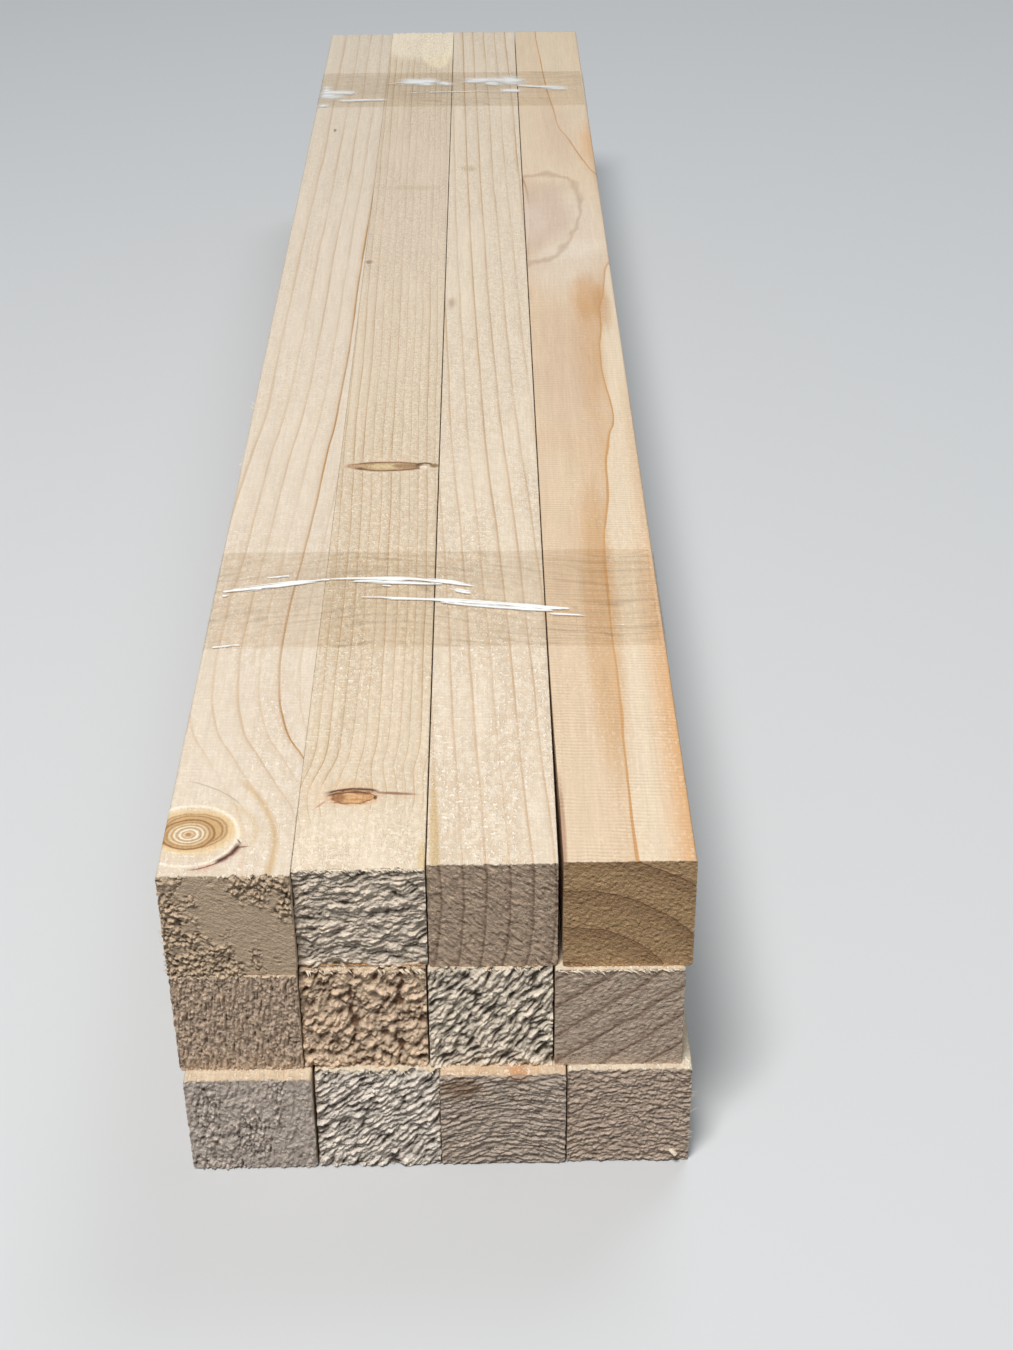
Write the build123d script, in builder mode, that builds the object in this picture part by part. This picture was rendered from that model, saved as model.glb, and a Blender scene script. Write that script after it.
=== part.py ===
"""Bundle of twelve square softwood battens: three rows of four, held by two bands of clear film.

X runs across the bundle, Y along the battens with the front ends at -Y, and Z up.
The origin is the middle of the bundle's footprint on the floor.
"""

from build123d import *
from collections import namedtuple
from math import asin, degrees
import os

# Battens, sawn square and cut to one length
batten_width = 27.2
batten_height = 26.7
batten_length = 600.0
arris_radius = 0.7

# Film bands, each of several turns drawn tight round the stack
film_width = 45.5
film_thickness = 0.25
film_clearance = 0.05
front_band_inset = 89.5
back_band_inset = 61.0

# The lapped tail of each band's last turn, pressed down on the right-hand side
tail_thickness = 0.1
tail_height = 38.0
tail_rise = 22.0

# How the battens lie in each row, with the rows from the floor up and the battens from the left.
# shift moves a row to the right of the stack's left side.
# over is how much a batten is wider than the nominal width, as sawn battens are.
# gaps are the spaces to the batten on the left, at the front end and at the back end.
# setbacks say how far the lower and the upper edge of each front end stand behind the foremost one.
rows = {
    "bottom": {
        "shift": 1.2,
        "over": [0.4, -0.1, 0.2, -0.1],
        "gaps": [(0.0, 0.0), (0.5, 0.3), (0.1, 0.1), (0.3, 0.3)],
        "setbacks": [(0.3, 0.0), (0.8, 2.6), (0.8, 0.7), (1.2, 2.0)],
    },
    "middle": {
        "shift": 0.2,
        "over": [-0.3, -0.4, -0.7, 0.3],
        "gaps": [(0.0, 0.0), (0.2, 0.2), (0.4, 0.2), (0.4, 0.2)],
        "setbacks": [(3.5, 3.2), (4.2, 5.3), (4.0, 5.1), (3.8, 4.0)],
    },
    "top": {
        "shift": 0.0,
        "over": [0.1, 0.0, -0.2, 0.2],
        "gaps": [(0.0, 0.0), (0.1, 0.1), (0.3, 0.2), (1.1, 0.4)],
        "setbacks": [(3.7, 3.5), (6.3, 5.2), (5.7, 6.3), (5.3, 6.7)],
    },
}

film_stand_off = film_clearance + film_thickness

# Where one batten lies: its left face at both ends, its floor, its front end's foot and head, its back
Place = namedtuple("Place", "width front_left back_left floor foot head back")


def lay_row(row, floor):
    """The places of a row's battens, each beside the one before with its gap between them."""
    front_left = row["shift"]
    back_left = row["shift"]
    laid = []
    for over, (front_gap, back_gap), (foot, head) in zip(row["over"], row["gaps"], row["setbacks"]):
        width = batten_width + over
        front_left += front_gap
        back_left += back_gap
        back = (foot + head) / 2 + batten_length
        laid.append(Place(width, front_left, back_left, floor, foot, head, back))
        front_left += width
        back_left += width
    return laid


def left_face(place, distance):
    """Where a batten's left face is at this distance from the foremost end."""
    share = (distance - place.foot) / batten_length
    return place.front_left + share * (place.back_left - place.front_left)


stack = {
    name: lay_row(row, film_stand_off + level * batten_height)
    for level, (name, row) in enumerate(rows.items())
}
places = [place for laid in stack.values() for place in laid]
stack_left = min(min(place.front_left, place.back_left) for place in places)
stack_right = max(max(place.front_left, place.back_left) + place.width for place in places)
stack_back = max(place.back for place in places)
middle_x = (stack_left + stack_right) / 2
middle_y = stack_back / 2
back_band_start = stack_back - back_band_inset - film_width


def make_batten(place):
    """One batten, drawn as its side view from end cut to end cut and made as wide as it is."""
    turn = degrees(asin((place.front_left - place.back_left) / batten_length))
    side_view = Plane(
        origin=(place.front_left - middle_x, -middle_y, place.floor),
        x_dir=Vector(0, 1, 0).rotate(Axis.Z, turn),
        z_dir=Vector(1, 0, 0).rotate(Axis.Z, turn),
    )
    with BuildPart() as batten:
        with BuildSketch(side_view):
            with BuildLine():
                Polyline(
                    (place.foot, 0),
                    (place.back, 0),
                    (place.back, batten_height),
                    (place.head, batten_height),
                    close=True,
                )
            make_face()
        extrude(amount=place.width)
        fillet(batten.edges().sort_by(SortBy.LENGTH)[-4:], radius=arris_radius)
    return batten


def stack_corners(distance):
    """The centres of the outer arrises' rounds, in section at this distance from the foremost end."""
    corners = []
    for laid in stack.values():
        left = left_face(laid[0], distance) + arris_radius - middle_x
        right = left_face(laid[-1], distance) + laid[-1].width - arris_radius - middle_x
        low = laid[0].floor + arris_radius
        high = laid[0].floor + batten_height - arris_radius
        corners += [(left, low), (left, high), (right, low), (right, high)]
    return corners


def make_band(start):
    """One band of film from its front edge on: the turns round the stack, and the lapped tail."""
    section = Plane.XZ.offset(middle_y - start)
    with BuildSketch(section) as inside:
        with Locations(*stack_corners(start)):
            Circle(arris_radius + film_clearance)
        make_hull()
    with BuildPart() as band:
        with BuildSketch(section):
            add(inside.sketch_local)
            offset(amount=film_thickness)
            add(inside.sketch_local, mode=Mode.SUBTRACT)
        extrude(amount=-film_width)
        with BuildSketch(section):
            add(inside.sketch_local)
            offset(amount=film_thickness + tail_thickness)
            with Locations((stack_right - middle_x, tail_rise)):
                Rectangle(
                    batten_width, tail_height, align=(Align.CENTER, Align.MIN), mode=Mode.INTERSECT
                )
            add(inside.sketch_local, mode=Mode.SUBTRACT)
        extrude(amount=-film_width)
    return band


os.makedirs("parts", exist_ok=True)

for row_name, laid in stack.items():
    for number, place in enumerate(laid, start=1):
        batten = make_batten(place)
        batten.part.label = f"batten_{row_name}_{number}"
        export_step(batten.part, f"parts/{batten.part.label}.step")

for band_name, start in (("film_band_front", front_band_inset), ("film_band_back", back_band_start)):
    band = make_band(start)
    band.part.label = band_name
    export_step(band.part, f"parts/{band_name}.step")
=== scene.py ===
"""Looks of a bundle of square softwood battens: sawn wood, torn ends, and bands of clear film.

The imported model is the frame. Every batten and band here stands for one of its nodes.
Lengths inside the wood and the film are millimetres, and MM turns them into the scene's metres.
"""

import math
import random
from typing import NamedTuple

import bmesh
import bpy
from bpy.props import FloatProperty, FloatVectorProperty, IntProperty, PointerProperty
from mathutils import Matrix, Vector, noise
from mathutils.bvhtree import BVHTree


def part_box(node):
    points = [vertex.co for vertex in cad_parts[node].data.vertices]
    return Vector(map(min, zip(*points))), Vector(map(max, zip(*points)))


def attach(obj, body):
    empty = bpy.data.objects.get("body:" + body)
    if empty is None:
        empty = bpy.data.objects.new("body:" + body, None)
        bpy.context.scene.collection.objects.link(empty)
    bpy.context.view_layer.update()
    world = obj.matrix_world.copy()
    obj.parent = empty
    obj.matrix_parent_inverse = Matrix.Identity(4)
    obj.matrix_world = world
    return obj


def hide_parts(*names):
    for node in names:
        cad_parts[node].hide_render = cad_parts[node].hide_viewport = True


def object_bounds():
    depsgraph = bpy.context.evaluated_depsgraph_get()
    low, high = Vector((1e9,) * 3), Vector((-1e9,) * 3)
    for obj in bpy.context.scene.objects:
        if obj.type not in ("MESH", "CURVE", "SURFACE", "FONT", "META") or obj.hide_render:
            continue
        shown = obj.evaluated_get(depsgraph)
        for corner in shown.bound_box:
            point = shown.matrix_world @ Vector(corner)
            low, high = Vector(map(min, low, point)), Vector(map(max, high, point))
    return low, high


bl_info = {
    "name": "Batten Bundle",
    "version": (1, 0, 0),
    "blender": (4, 5, 0),
    "location": "View3D > Sidebar > Battens",
    "description": "Sawn battens with torn ends, held by bands of clear film",
    "category": "Object",
}

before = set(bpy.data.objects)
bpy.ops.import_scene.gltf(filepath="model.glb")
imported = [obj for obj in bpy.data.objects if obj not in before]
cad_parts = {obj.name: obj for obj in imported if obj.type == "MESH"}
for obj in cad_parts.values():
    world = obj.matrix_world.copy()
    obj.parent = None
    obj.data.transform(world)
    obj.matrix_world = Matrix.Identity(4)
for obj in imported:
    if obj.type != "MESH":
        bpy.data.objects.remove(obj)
cad_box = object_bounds()

MM = 0.001
BODY = "root"

# The foremost end of the bundle, from which places along the battens are counted
FRONT = cad_box[0][1]

# How far along a batten its curves are drawn, and how high its top face is, in millimetres
SPAN = 600
TOP = 26.7

# Each batten has a seed for its noise and its draws. Its marks and its back end go on from that seed.
FIRST_SEED = 3.7
SEED_STEP = 13.1
MARK_SEED_STEP = 5
BACK_SEED = 50

# Ends with more tear than this get the finer grid
TORN = 0.6

# The fibres of an end stand up and sink in no more than this, as a share of its tear
TEAR_LIMIT = 1.3

# How far back from the end the tear fades out, and how near to its rim the end is ragged, in millimetres
TEAR_REACH = 2.0
RIM = 0.05

# Where a batten's sides are cut across near each end, so that the tear can fade there, in millimetres
STATIONS = (0.3, 0.8, 1.6, 3)

# How far the year rings wander, in millimetres
RING_WANDER = 1.6

# How dark a year ring is from its inner side, at 0, to its outer side, at 1
NARROW_RING = (
    (0.0, 0.3), (0.05, 0.02), (0.45, 0.03), (0.72, 0.12), (0.88, 0.42), (0.95, 1.0), (1.0, 0.85),
)
WIDE_RING = (
    (0.0, 0.6), (0.015, 0.05), (0.25, 0.0), (0.5, 0.14), (0.75, 0.42), (0.95, 0.66), (0.985, 1.15),
)

# How thick the saw's pale tufts stand along a batten, and how much paler than the wood they are
TUFTS = ((0, 1.0), (120, 1.0), (260, 0.5), (SPAN, 0.4))
TUFT_LIFTS = (1.2, 1.22, 1.29)

# The shares of an end's tone that are left in the lines of its year rings
RING_SHARES = (0.4, 0.3, 0.27, 1.0)

# No tufts stand on marks with a radius under this, in millimetres
FINE_MARK = 2.2

# How far the knots stand out of the sawn face, in millimetres
KNOT_RISE = 0.05

# Where the second turn of film starts and the third one ends, in millimetres from the band's front edge
SECOND_TURN_FROM = 5.5
THIRD_TURN_TO = 38.5

# How much each turn lifts the film, and how high its soft waves are, in millimetres
TURN_STEP = 0.03
WAVE_HEIGHT = 0.05

# The share of a crease's height that stands once the film is drawn tight
FOLD_SHARE = 0.3

# How near to its edges the film wanders, in millimetres
EDGE_ZONE = 4

# The fine lines across the film are painted shadows of its small wrinkles on the wood under it.
# How far apart they are, in millimetres, and how dark
WRINKLE_SHADOW_LINES = ((3.3, 0.085), (1.9, 0.06), (1.1, 0.035))


class End(NamedTuple):
    """How the saw left one end: the height of its tear, and strokes at an angle in degrees from level.

    streaks, flaps, lumps and grit say how much there is of long strokes, of lifted flaps, of round lumps
    and of fine grit. Where follow is true the strokes run along the year rings. rings is how deep the year
    rings are cut and lines how dark they are. rough holds the places (across, up, and half the size each
    way) outside which only the share calm of the tear is left. warp is how much the strokes wind and hatch
    how strong the finest of them are. splits are upright cracks, from the left face, and deep is the
    painted shade laid down in the cracks and the deepest hollows of the end, a dark tone for the shade
    there.
    """

    tear: float
    angle: float
    length: float
    width: float
    streaks: float = 0.5
    flaps: float = 0.3
    lumps: float = 0.3
    grit: float = 0.3
    rings: float = 0.0
    lines: float = 0.1
    follow: bool = False
    rough: tuple = ()
    calm: float = 0.14
    warp: float = 1.0
    hatch: float = 1.0
    splits: tuple = ()
    deep: tuple = (0.17, 0.12, 0.085, 1.0)


class Oval(NamedTuple):
    """An oval place in a batten: its middle and radii, across, along and up, and its turn in degrees."""

    middle: tuple
    radii: tuple
    turn: float = 0.0
    waver: float = 0.15


class Mark(NamedTuple):
    """A colour laid on the wood over an oval, or along its outline where line gives a share of its radius.

    soft is the share of the radius over which the colour fades. A window is an oval outside which
    nothing shows. sunk is a depth in millimetres. The mark lies on the sawn ends if on_end is true.
    """

    oval: Oval
    colour: tuple
    strength: float
    soft: float = 0.5
    line: float = 0.0
    window: Oval = None
    sunk: float = 0.0
    on_end: bool = False


class Knot(NamedTuple):
    """A branch cut through: colours from its middle, at 0, to its rim, at 1, each with its strength."""

    oval: Oval
    tones: tuple


class Slivers(NamedTuple):
    """Small fibres standing off the wood, rooted at random along a line and pointing roughly one way.

    Lengths are millimetres. fibre is 0 for the wood's own colour, 0.5 for tan fibres and 1 for pale ones.
    tip is the share of the width that is left at the tip.
    """

    count: int
    start: tuple
    stop: tuple
    way: tuple
    length: float
    width: float
    fibre: float = 0.0
    tip: float = 0.15


class Batten(NamedTuple):
    """One batten's wood. Places are millimetres across from its left face, along from FRONT, and up.

    sharp names the upper arrises, -1 for the left and 1 for the right, that are left sharp. bow is how far
    the left face swells out, as places along and distances. The rings part round the oval parted.
    """

    pith: tuple
    spacing: float
    first: float
    end: End
    early: tuple
    late: tuple
    end_tone: tuple
    drift: tuple = ((0, 0), (SPAN, 0))
    strong: int = -99
    lines: float = 0.6
    fuzz: float = 1.0
    chatter: float = 0.3
    wide: float = 0.0
    uneven: float = 0.0
    fade: tuple = ()
    sharp: tuple = ()
    bow: tuple = ()
    parted: Oval = None
    marks: tuple = ()
    slivers: tuple = ()


def seen(red, green, blue):
    """The linear colour of a surface that looks like these screen values from 0 to 255."""
    linear = []
    for value in (red, green, blue):
        share = value / 255
        linear.append(share / 12.92 if share <= 0.04045 else ((share + 0.055) / 1.055) ** 2.4)
    return (*linear, 1.0)


CREAM = seen(238, 223, 200)
STRAW = seen(231, 213, 187)
PINKISH = seen(233, 207, 178)
LINE_BROWN = seen(186, 142, 92)
LINE_GREY = seen(188, 154, 112)
ORANGE = seen(214, 164, 108)
BARK_BROWN = seen(112, 66, 40)
PALE_FIBRE = seen(246, 232, 208)
TAN_FIBRE = seen(206, 164, 116)

# The knot near the front of the first batten, cut straight across
ROUND_KNOT_RIM = Knot(
    Oval((5.8, 18.7, TOP), (9.7, 8.0, 60), waver=0.2),
    (
        (0.0, seen(196, 158, 108), 1.0), (0.45, seen(202, 164, 114), 1.0), (0.6, seen(206, 170, 120), 1.0),
        (0.66, seen(158, 116, 76), 0.95), (0.7, seen(212, 176, 126), 0.9), (0.76, seen(172, 130, 88), 0.9),
        (0.8, seen(222, 188, 138), 0.85), (0.9, seen(228, 196, 146), 0.75), (1.0, seen(240, 220, 186), 0.0),
    ),
)
ROUND_KNOT = Knot(
    Oval((5.2, 17.6, TOP), (5.9, 5.4, 60), waver=0.14),
    (
        (0.0, seen(168, 122, 88), 1.0), (0.08, seen(184, 138, 98), 1.0), (0.16, seen(226, 200, 164), 1.0),
        (0.24, seen(196, 158, 116), 1.0), (0.3, seen(248, 238, 214), 1.0), (0.42, seen(182, 146, 106), 1.0),
        (0.5, seen(242, 228, 198), 1.0), (0.58, seen(184, 144, 100), 1.0), (0.66, seen(228, 204, 164), 1.0),
        (0.75, seen(178, 136, 92), 1.0), (0.84, seen(206, 170, 122), 1.0), (0.92, seen(150, 108, 70), 1.0),
        (0.96, seen(162, 118, 76), 0.9), (1.0, seen(202, 162, 114), 0.0),
    ),
)

# The knot near the front of the second batten, cut at a slant
SLANT_KNOT = Knot(
    Oval((11.4, 29.8, TOP), (6.2, 3.0, 3), turn=1, waver=1.0),
    (
        (0.0, seen(222, 180, 132), 1.0), (0.2, seen(206, 158, 108), 1.0), (0.38, seen(224, 182, 134), 1.0),
        (0.55, seen(196, 146, 98), 1.0), (0.66, seen(210, 164, 114), 1.0), (0.75, seen(128, 82, 54), 0.9),
        (0.82, seen(160, 108, 72), 0.8), (0.9, seen(220, 178, 134), 0.5), (1.0, CREAM, 0.0),
    ),
)

# The long knot in the middle of the second batten, cut along the branch
SPIKE_KNOT = Knot(
    Oval((13.2, 183, TOP), (13.6, 3.7, 2.5), turn=0.5, waver=0.35),
    (
        (0.0, seen(226, 202, 158), 1.0), (0.3, seen(216, 190, 146), 1.0), (0.55, seen(190, 156, 116), 1.0),
        (0.66, seen(118, 86, 62), 1.0), (0.74, seen(150, 114, 84), 0.95), (0.84, seen(216, 188, 156), 0.6),
        (1.0, CREAM, 0.0),
    ),
)

BATTENS = {
    "batten_top_1": Batten(
        pith=(-20, 5), spacing=4.15, first=0.2, strong=10,
        end=End(
            tear=1.15, angle=-35, length=1.0, width=0.7, streaks=0.7, flaps=0.3, lumps=0.2,
            grit=0.9, lines=0.05, calm=0.11,
            rough=((1, 14, 6.5, 15), (8, 2, 11, 8), (20.5, 24, 8.5, 5), (26.5, 20, 3, 6)),
        ),
        early=seen(227, 212, 192), late=LINE_BROWN, end_tone=seen(231, 205, 175),
        drift=(
            (0, 19.5), (12, 19.6), (23, 17.7), (33, 13.6), (45, 8.2), (60, 2.6), (75, 0.6), (90, 0),
            (136, 1.7), (163, 3.0), (191, 4.3), (213, 5.8), (240, 6.4), (300, 7.0), (420, 8.5), (SPAN, 9.0),
        ),
        fuzz=0.6, lines=0.6,
        sharp=(1,),
        marks=(
            Mark(Oval((2, 30, TOP), (13, 24, 60)), seen(227, 212, 192), 0.8, soft=0.6),
            Mark(Oval((6.2, 18.4, TOP), (12.5, 10.8, 40)), seen(234, 212, 172), 0.6, soft=0.4),
            Mark(
                Oval((5.2, 17.6, TOP), (14.0, 12.6, 60), waver=0.1), seen(212, 184, 134), 0.5, line=0.1,
                window=Oval((17, 22, TOP), (6, 11, 20)),
            ),
            Mark(
                Oval((-10, 12, TOP), (33.6, 35, 60), waver=0.03), seen(202, 166, 108), 0.55, line=0.045,
                window=Oval((21, 20, TOP), (12, 26, 20)),
            ),
            ROUND_KNOT_RIM,
            ROUND_KNOT,
            Mark(
                Oval((5.2, 17.2, TOP), (10.3, 10.3, 60), waver=0.05),
                seen(250, 236, 214), 0.85, line=0.08,
            ),
            Mark(
                Oval((5.2, 17.6, TOP), (11.7, 12.2, 60), waver=0.1), seen(206, 156, 132), 0.5, line=0.12,
                window=Oval((12.5, 8.6, TOP), (7.6, 6.2, 30), turn=-32),
            ),
            Mark(
                Oval((5.2, 17.6, TOP), (11.4, 11.7, 60), waver=0.08), seen(70, 34, 26), 1.0, line=0.1,
                window=Oval((14.6, 10.6, TOP), (4.4, 6.6, 30), turn=-32), sunk=0.4,
            ),
            Mark(
                Oval((5.2, 17.6, TOP), (11.5, 11.9, 60), waver=0.08), seen(120, 66, 52), 0.9, line=0.035,
                window=Oval((11.5, 8.8, TOP), (7.0, 5.0, 30), turn=-20),
            ),
            Mark(Oval((17.0, 13.2, TOP), (1.6, 0.4, 2), turn=-12), seen(110, 60, 50), 0.8, soft=0.7),
            Mark(Oval((16.0, 15.0, TOP), (0.3, 1.4, 2), turn=-30), seen(96, 50, 40), 0.8, soft=0.7),
            Mark(
                Oval((-4, 14, TOP), (23.5, 23.5, 60), waver=0.02), seen(172, 158, 138), 0.7, line=0.014,
                window=Oval((10, 32.5, TOP), (9, 6, 20), turn=40),
            ),
            Mark(Oval((9.2, 471, TOP), (0.9, 2.6, 1)), BARK_BROWN, 0.75, soft=0.8),
        ),
        slivers=(
            Slivers(3, (0.1, 183, 26.2), (0.1, 190, 26.4), (-1, 0.8, 0.5), 1.8, 0.3, 1.0),
            Slivers(4, (0.1, 221, 26.2), (0.1, 229, 26.4), (-0.8, 1, 0.6), 2.2, 0.35, 1.0),
            Slivers(9, (0, 60, 26.3), (0, 420, 26.5), (-0.4, 1, 0.1), 1.2, 0.22),
            Slivers(16, (0.2, 3.4, 1), (0.2, 3.6, 18), (-0.9, -0.3, 0.2), 0.9, 0.5),
            Slivers(12, (1, 3.5, 26.6), (26, 3.5, 26.6), (0.4, -0.8, -0.2), 0.8, 0.3, 1.0),
        ),
    ),
    "batten_top_2": Batten(
        pith=(-30, -11), spacing=1.93, first=0.33,
        end=End(
            tear=1.1, angle=12, length=2.6, width=0.9, streaks=0.75, flaps=0.4, lumps=0.55, grit=0.35,
            lines=0,
        ),
        early=seen(228, 211, 186), late=LINE_GREY, end_tone=seen(250, 234, 214),
        drift=((0, -1), (30, -1.5), (44, -0.6), (56, 0), (75, 0), (145, -0.7), (230, -2), (SPAN, -5)),
        fuzz=1.0, lines=1.3, wide=0.45, uneven=0.6,
        sharp=(-1, 1), bow=((0, 0), (10, 0), (30, 0.08), (SPAN, 0.08)),
        parted=Oval((11.5, 30, TOP), (17, 15, 60)),
        marks=(
            Mark(Oval((13, 4, TOP), (30, 28, 16), waver=0.3), CREAM, 0.9, soft=0.55),
            Mark(Oval((3.5, 31, TOP), (4, 6, 5), waver=0.4), seen(230, 208, 182), 0.7, soft=0.7),
            Mark(Oval((10.5, 34, TOP), (8, 4, 5), waver=0.4), seen(220, 180, 136), 0.4, soft=0.9),
            Mark(Oval((11.2, 30, TOP), (8, 4, 5), waver=0.4), seen(220, 172, 126), 0.6, soft=0.5),
            SLANT_KNOT,
            Mark(Oval((8.4, 29.9, TOP), (2.2, 2.3, 2), waver=0.5), seen(150, 98, 66), 0.8, soft=0.8),
            Mark(Oval((12.5, 29.2, TOP), (3.2, 0.5, 2), turn=3), seen(188, 134, 86), 0.7, soft=0.8),
            Mark(
                Oval((11.6, 29.4, TOP), (6.9, 3.6, 3), waver=0.25), seen(92, 50, 32), 1.0, line=0.2,
                window=Oval((11, 33.2, TOP), (8, 3.4, 5)), sunk=0.25,
            ),
            Mark(
                Oval((10.8, 29.4, TOP), (5.2, 2.4, 3), waver=0.5), seen(104, 60, 38), 0.9, line=0.22,
                window=Oval((10, 32, TOP), (7, 2.6, 5)), sunk=0.2,
            ),
            Mark(Oval((20.3, 31.2, TOP), (6.8, 0.8, 2), turn=6), seen(146, 94, 60), 0.85, soft=0.7),
            Mark(Oval((16.2, 29.7, TOP), (0.45, 0.9, 2)), seen(96, 56, 36), 0.9, soft=0.5),
            Mark(Oval((4.7, 27.5, TOP), (2.6, 0.45, 2), turn=-52), seen(190, 134, 104), 0.7, soft=0.7),
            Mark(Oval((14, 186, TOP), (14, 6, 4), waver=0.4), seen(232, 208, 180), 0.7, soft=0.8),
            Mark(Oval((4, 183, TOP), (5, 2.0, 4), waver=0.3), seen(212, 180, 146), 0.7, soft=0.8),
            SPIKE_KNOT,
            Mark(Oval((18.6, 183.2, TOP), (5.6, 2.3, 2), waver=0.3), seen(170, 136, 104), 0.95, soft=0.6),
            Mark(Oval((4.2, 183.4, TOP), (3.6, 1.6, 2)), seen(206, 170, 136), 0.8, soft=0.7),
            Mark(
                Oval((23.4, 182.6, TOP), (2.4, 2.2, 2)), seen(104, 74, 54), 1.0, line=0.4,
                window=Oval((23.4, 184.2, TOP), (3.4, 2.6, 2)), sunk=0.2,
            ),
            Mark(Oval((23.1, 182.3, TOP), (1.5, 1.3, 2)), seen(242, 226, 210), 1.0, soft=0.5),
            Mark(Oval((26.1, 183.2, TOP), (1.8, 1.7, 2)), seen(150, 120, 80), 0.95, soft=0.6),
            Mark(Oval((26.6, 9, TOP), (1.3, 8, 3)), seen(214, 184, 130), 0.7, soft=0.6),
            Mark(Oval((1.4, 333, TOP), (1.7, 2.6, 2)), BARK_BROWN, 0.95, soft=0.7, sunk=0.1),
            Mark(Oval((4.5, 336, TOP), (3, 3, 2)), ORANGE, 0.5, soft=0.9),
            Mark(Oval((20.5, 580, TOP), (8, 31, 60), waver=0.3), seen(250, 234, 200), 0.95, soft=0.25),
            Mark(Oval((13, 400, TOP), (40, 190, 60), waver=0.3), seen(227, 209, 190), 0.55, soft=0.8),
            Mark(Oval((13, 592, TOP), (22, 34, 60), waver=0.3), seen(250, 236, 212), 0.85, soft=0.4),
            Mark(Oval((14, 405, TOP), (14, 3.5, 5), waver=0.5), seen(206, 186, 152), 0.5, soft=0.8),
        ),
        slivers=(
            Slivers(90, (0.6, 5.3, 26.5), (26.8, 5.3, 26.5), (0.9, -0.6, -0.1), 1.1, 0.4, 1.0),
            Slivers(110, (1, 6.2, 0.6), (26, 6.2, 0.4), (0.9, -0.4, -0.2), 1.0, 0.35, 0.5),
        ),
    ),
    "batten_top_3": Batten(
        pith=(-90, 20), spacing=4.75, first=0.74,
        end=End(
            tear=0.6, angle=-46, length=1.9, width=0.55, streaks=0.6, flaps=0.45, lumps=0.1, grit=0.35,
            rings=0.1, lines=0.6, warp=0.6, hatch=3.0,
        ),
        early=seen(232, 216, 194), late=LINE_BROWN, end_tone=seen(226, 200, 174),
        drift=((0, -2.8), (11, -3.2), (52, -5.3), (75, -6.2), (145, -9.2), (230, -13.3), (SPAN, -21)),
        sharp=(-1, 1),
        fuzz=0.9, lines=0.8,
        marks=(
            Mark(
                Oval((1.6, 14, TOP), (1.4, 34, 3), turn=-1.5, waver=0.1),
                seen(208, 176, 124), 0.75, soft=0.6,
            ),
            Mark(Oval((7, 425, TOP), (4, 5, 5), waver=0.5), seen(196, 172, 140), 0.6, soft=0.8),
            Mark(Oval((2.2, 297, TOP), (2.0, 7, 3), waver=0.4), seen(150, 108, 78), 0.5, soft=0.9),
        ),
        slivers=(
            Slivers(14, (1, 5.9, 0.5), (26, 5.9, 0.5), (0.5, -0.6, -0.4), 0.9, 0.3, 0.5),
        ),
    ),
    "batten_top_4": Batten(
        pith=(0.5, -15), spacing=9.3, first=0.25,
        end=End(
            tear=0.34, angle=-25, length=0.9, width=0.6, streaks=0.4, flaps=0.2, lumps=0.2, grit=1.1,
            lines=0.7, hatch=1.8,
        ),
        early=seen(229, 209, 182), late=seen(204, 156, 106), end_tone=seen(208, 172, 129),
        drift=(
            (0, 0.7), (20, 0.6), (90, -0.4), (118, -0.4), (136, 0.0), (154, 1.7), (169, 2.7), (183, 2.8),
            (191, 3.6), (203, 5.0), (213, 6.4), (223, 6.0), (237, 5.0), (253, 5.0), (273, 6.7), (291, 7.7),
            (303, 9.3), (323, 10.4), (345, 13.5), (400, 13.5), (425, 9.6), (443, 6.0), (461, 2.4),
            (480, -1.2), (495, -2.0), (558, -5.2), (SPAN, -6.2),
        ),
        fuzz=0.4, lines=0.75, chatter=1.0, wide=1.0,
        fade=((0, 0.8), (90, 0.9), (170, 1.05), (320, 1.0), (400, 0.3), (SPAN, 0.3)),
        sharp=(-1,), bow=((0, 0), (20, 0.1), (45, 0.45), (70, 0.62), (100, 0.68), (300, 0.45), (SPAN, 0.1)),
        marks=(
            Mark(Oval((10, 352, TOP), (26, 62, 60), waver=0.3), seen(226, 212, 198), 0.45, soft=0.5),
            Mark(Oval((3, 60, TOP), (10, 170, 60), waver=0.3), seen(222, 198, 170), 0.5, soft=0.8),
            Mark(Oval((27.5, 40, 20), (8.2, 190, 40), waver=0.3), seen(218, 165, 110), 0.85, soft=0.9),
            Mark(Oval((12.8, 102, TOP), (5.6, 92, 30), waver=0.25), seen(204, 158, 106), 0.55, soft=0.55),
            Mark(Oval((16.5, 255, TOP), (6.5, 62, 30), waver=0.3), seen(202, 158, 112), 0.5, soft=0.7),
            Mark(Oval((22.5, 292, TOP), (4, 24, 30), waver=0.3), seen(196, 150, 104), 0.55, soft=0.7),
            Mark(Oval((28, 195, TOP), (6, 75, 60), waver=0.3), seen(210, 172, 132), 0.45, soft=0.8),
            Mark(Oval((28.5, 450, TOP), (5, 110, 60), waver=0.3), seen(186, 150, 116), 0.45, soft=0.8),
            Mark(Oval((8, 250, TOP), (12, 70, 60), waver=0.5), seen(212, 184, 158), 0.6, soft=0.8),
            Mark(Oval((18, 300, TOP), (7.5, 28, 20), waver=0.5), seen(206, 156, 104), 0.6, soft=0.7),
            Mark(
                Oval((15, 343, TOP), (17, 11, 20), turn=-38, waver=0.4),
                seen(232, 218, 198), 0.75, soft=0.8,
            ),
            Mark(
                Oval((1, 375, TOP), (18, 42.5, 60), turn=7, waver=0.6),
                seen(206, 180, 160), 0.6, soft=0.4,
            ),
            Mark(
                Oval((-4, 372, TOP), (14, 30, 60), turn=-6, waver=0.3),
                seen(226, 206, 188), 0.6, soft=0.6,
            ),
            Mark(
                Oval((1, 375, TOP), (18.4, 43, 60), turn=7, waver=0.6),
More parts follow.
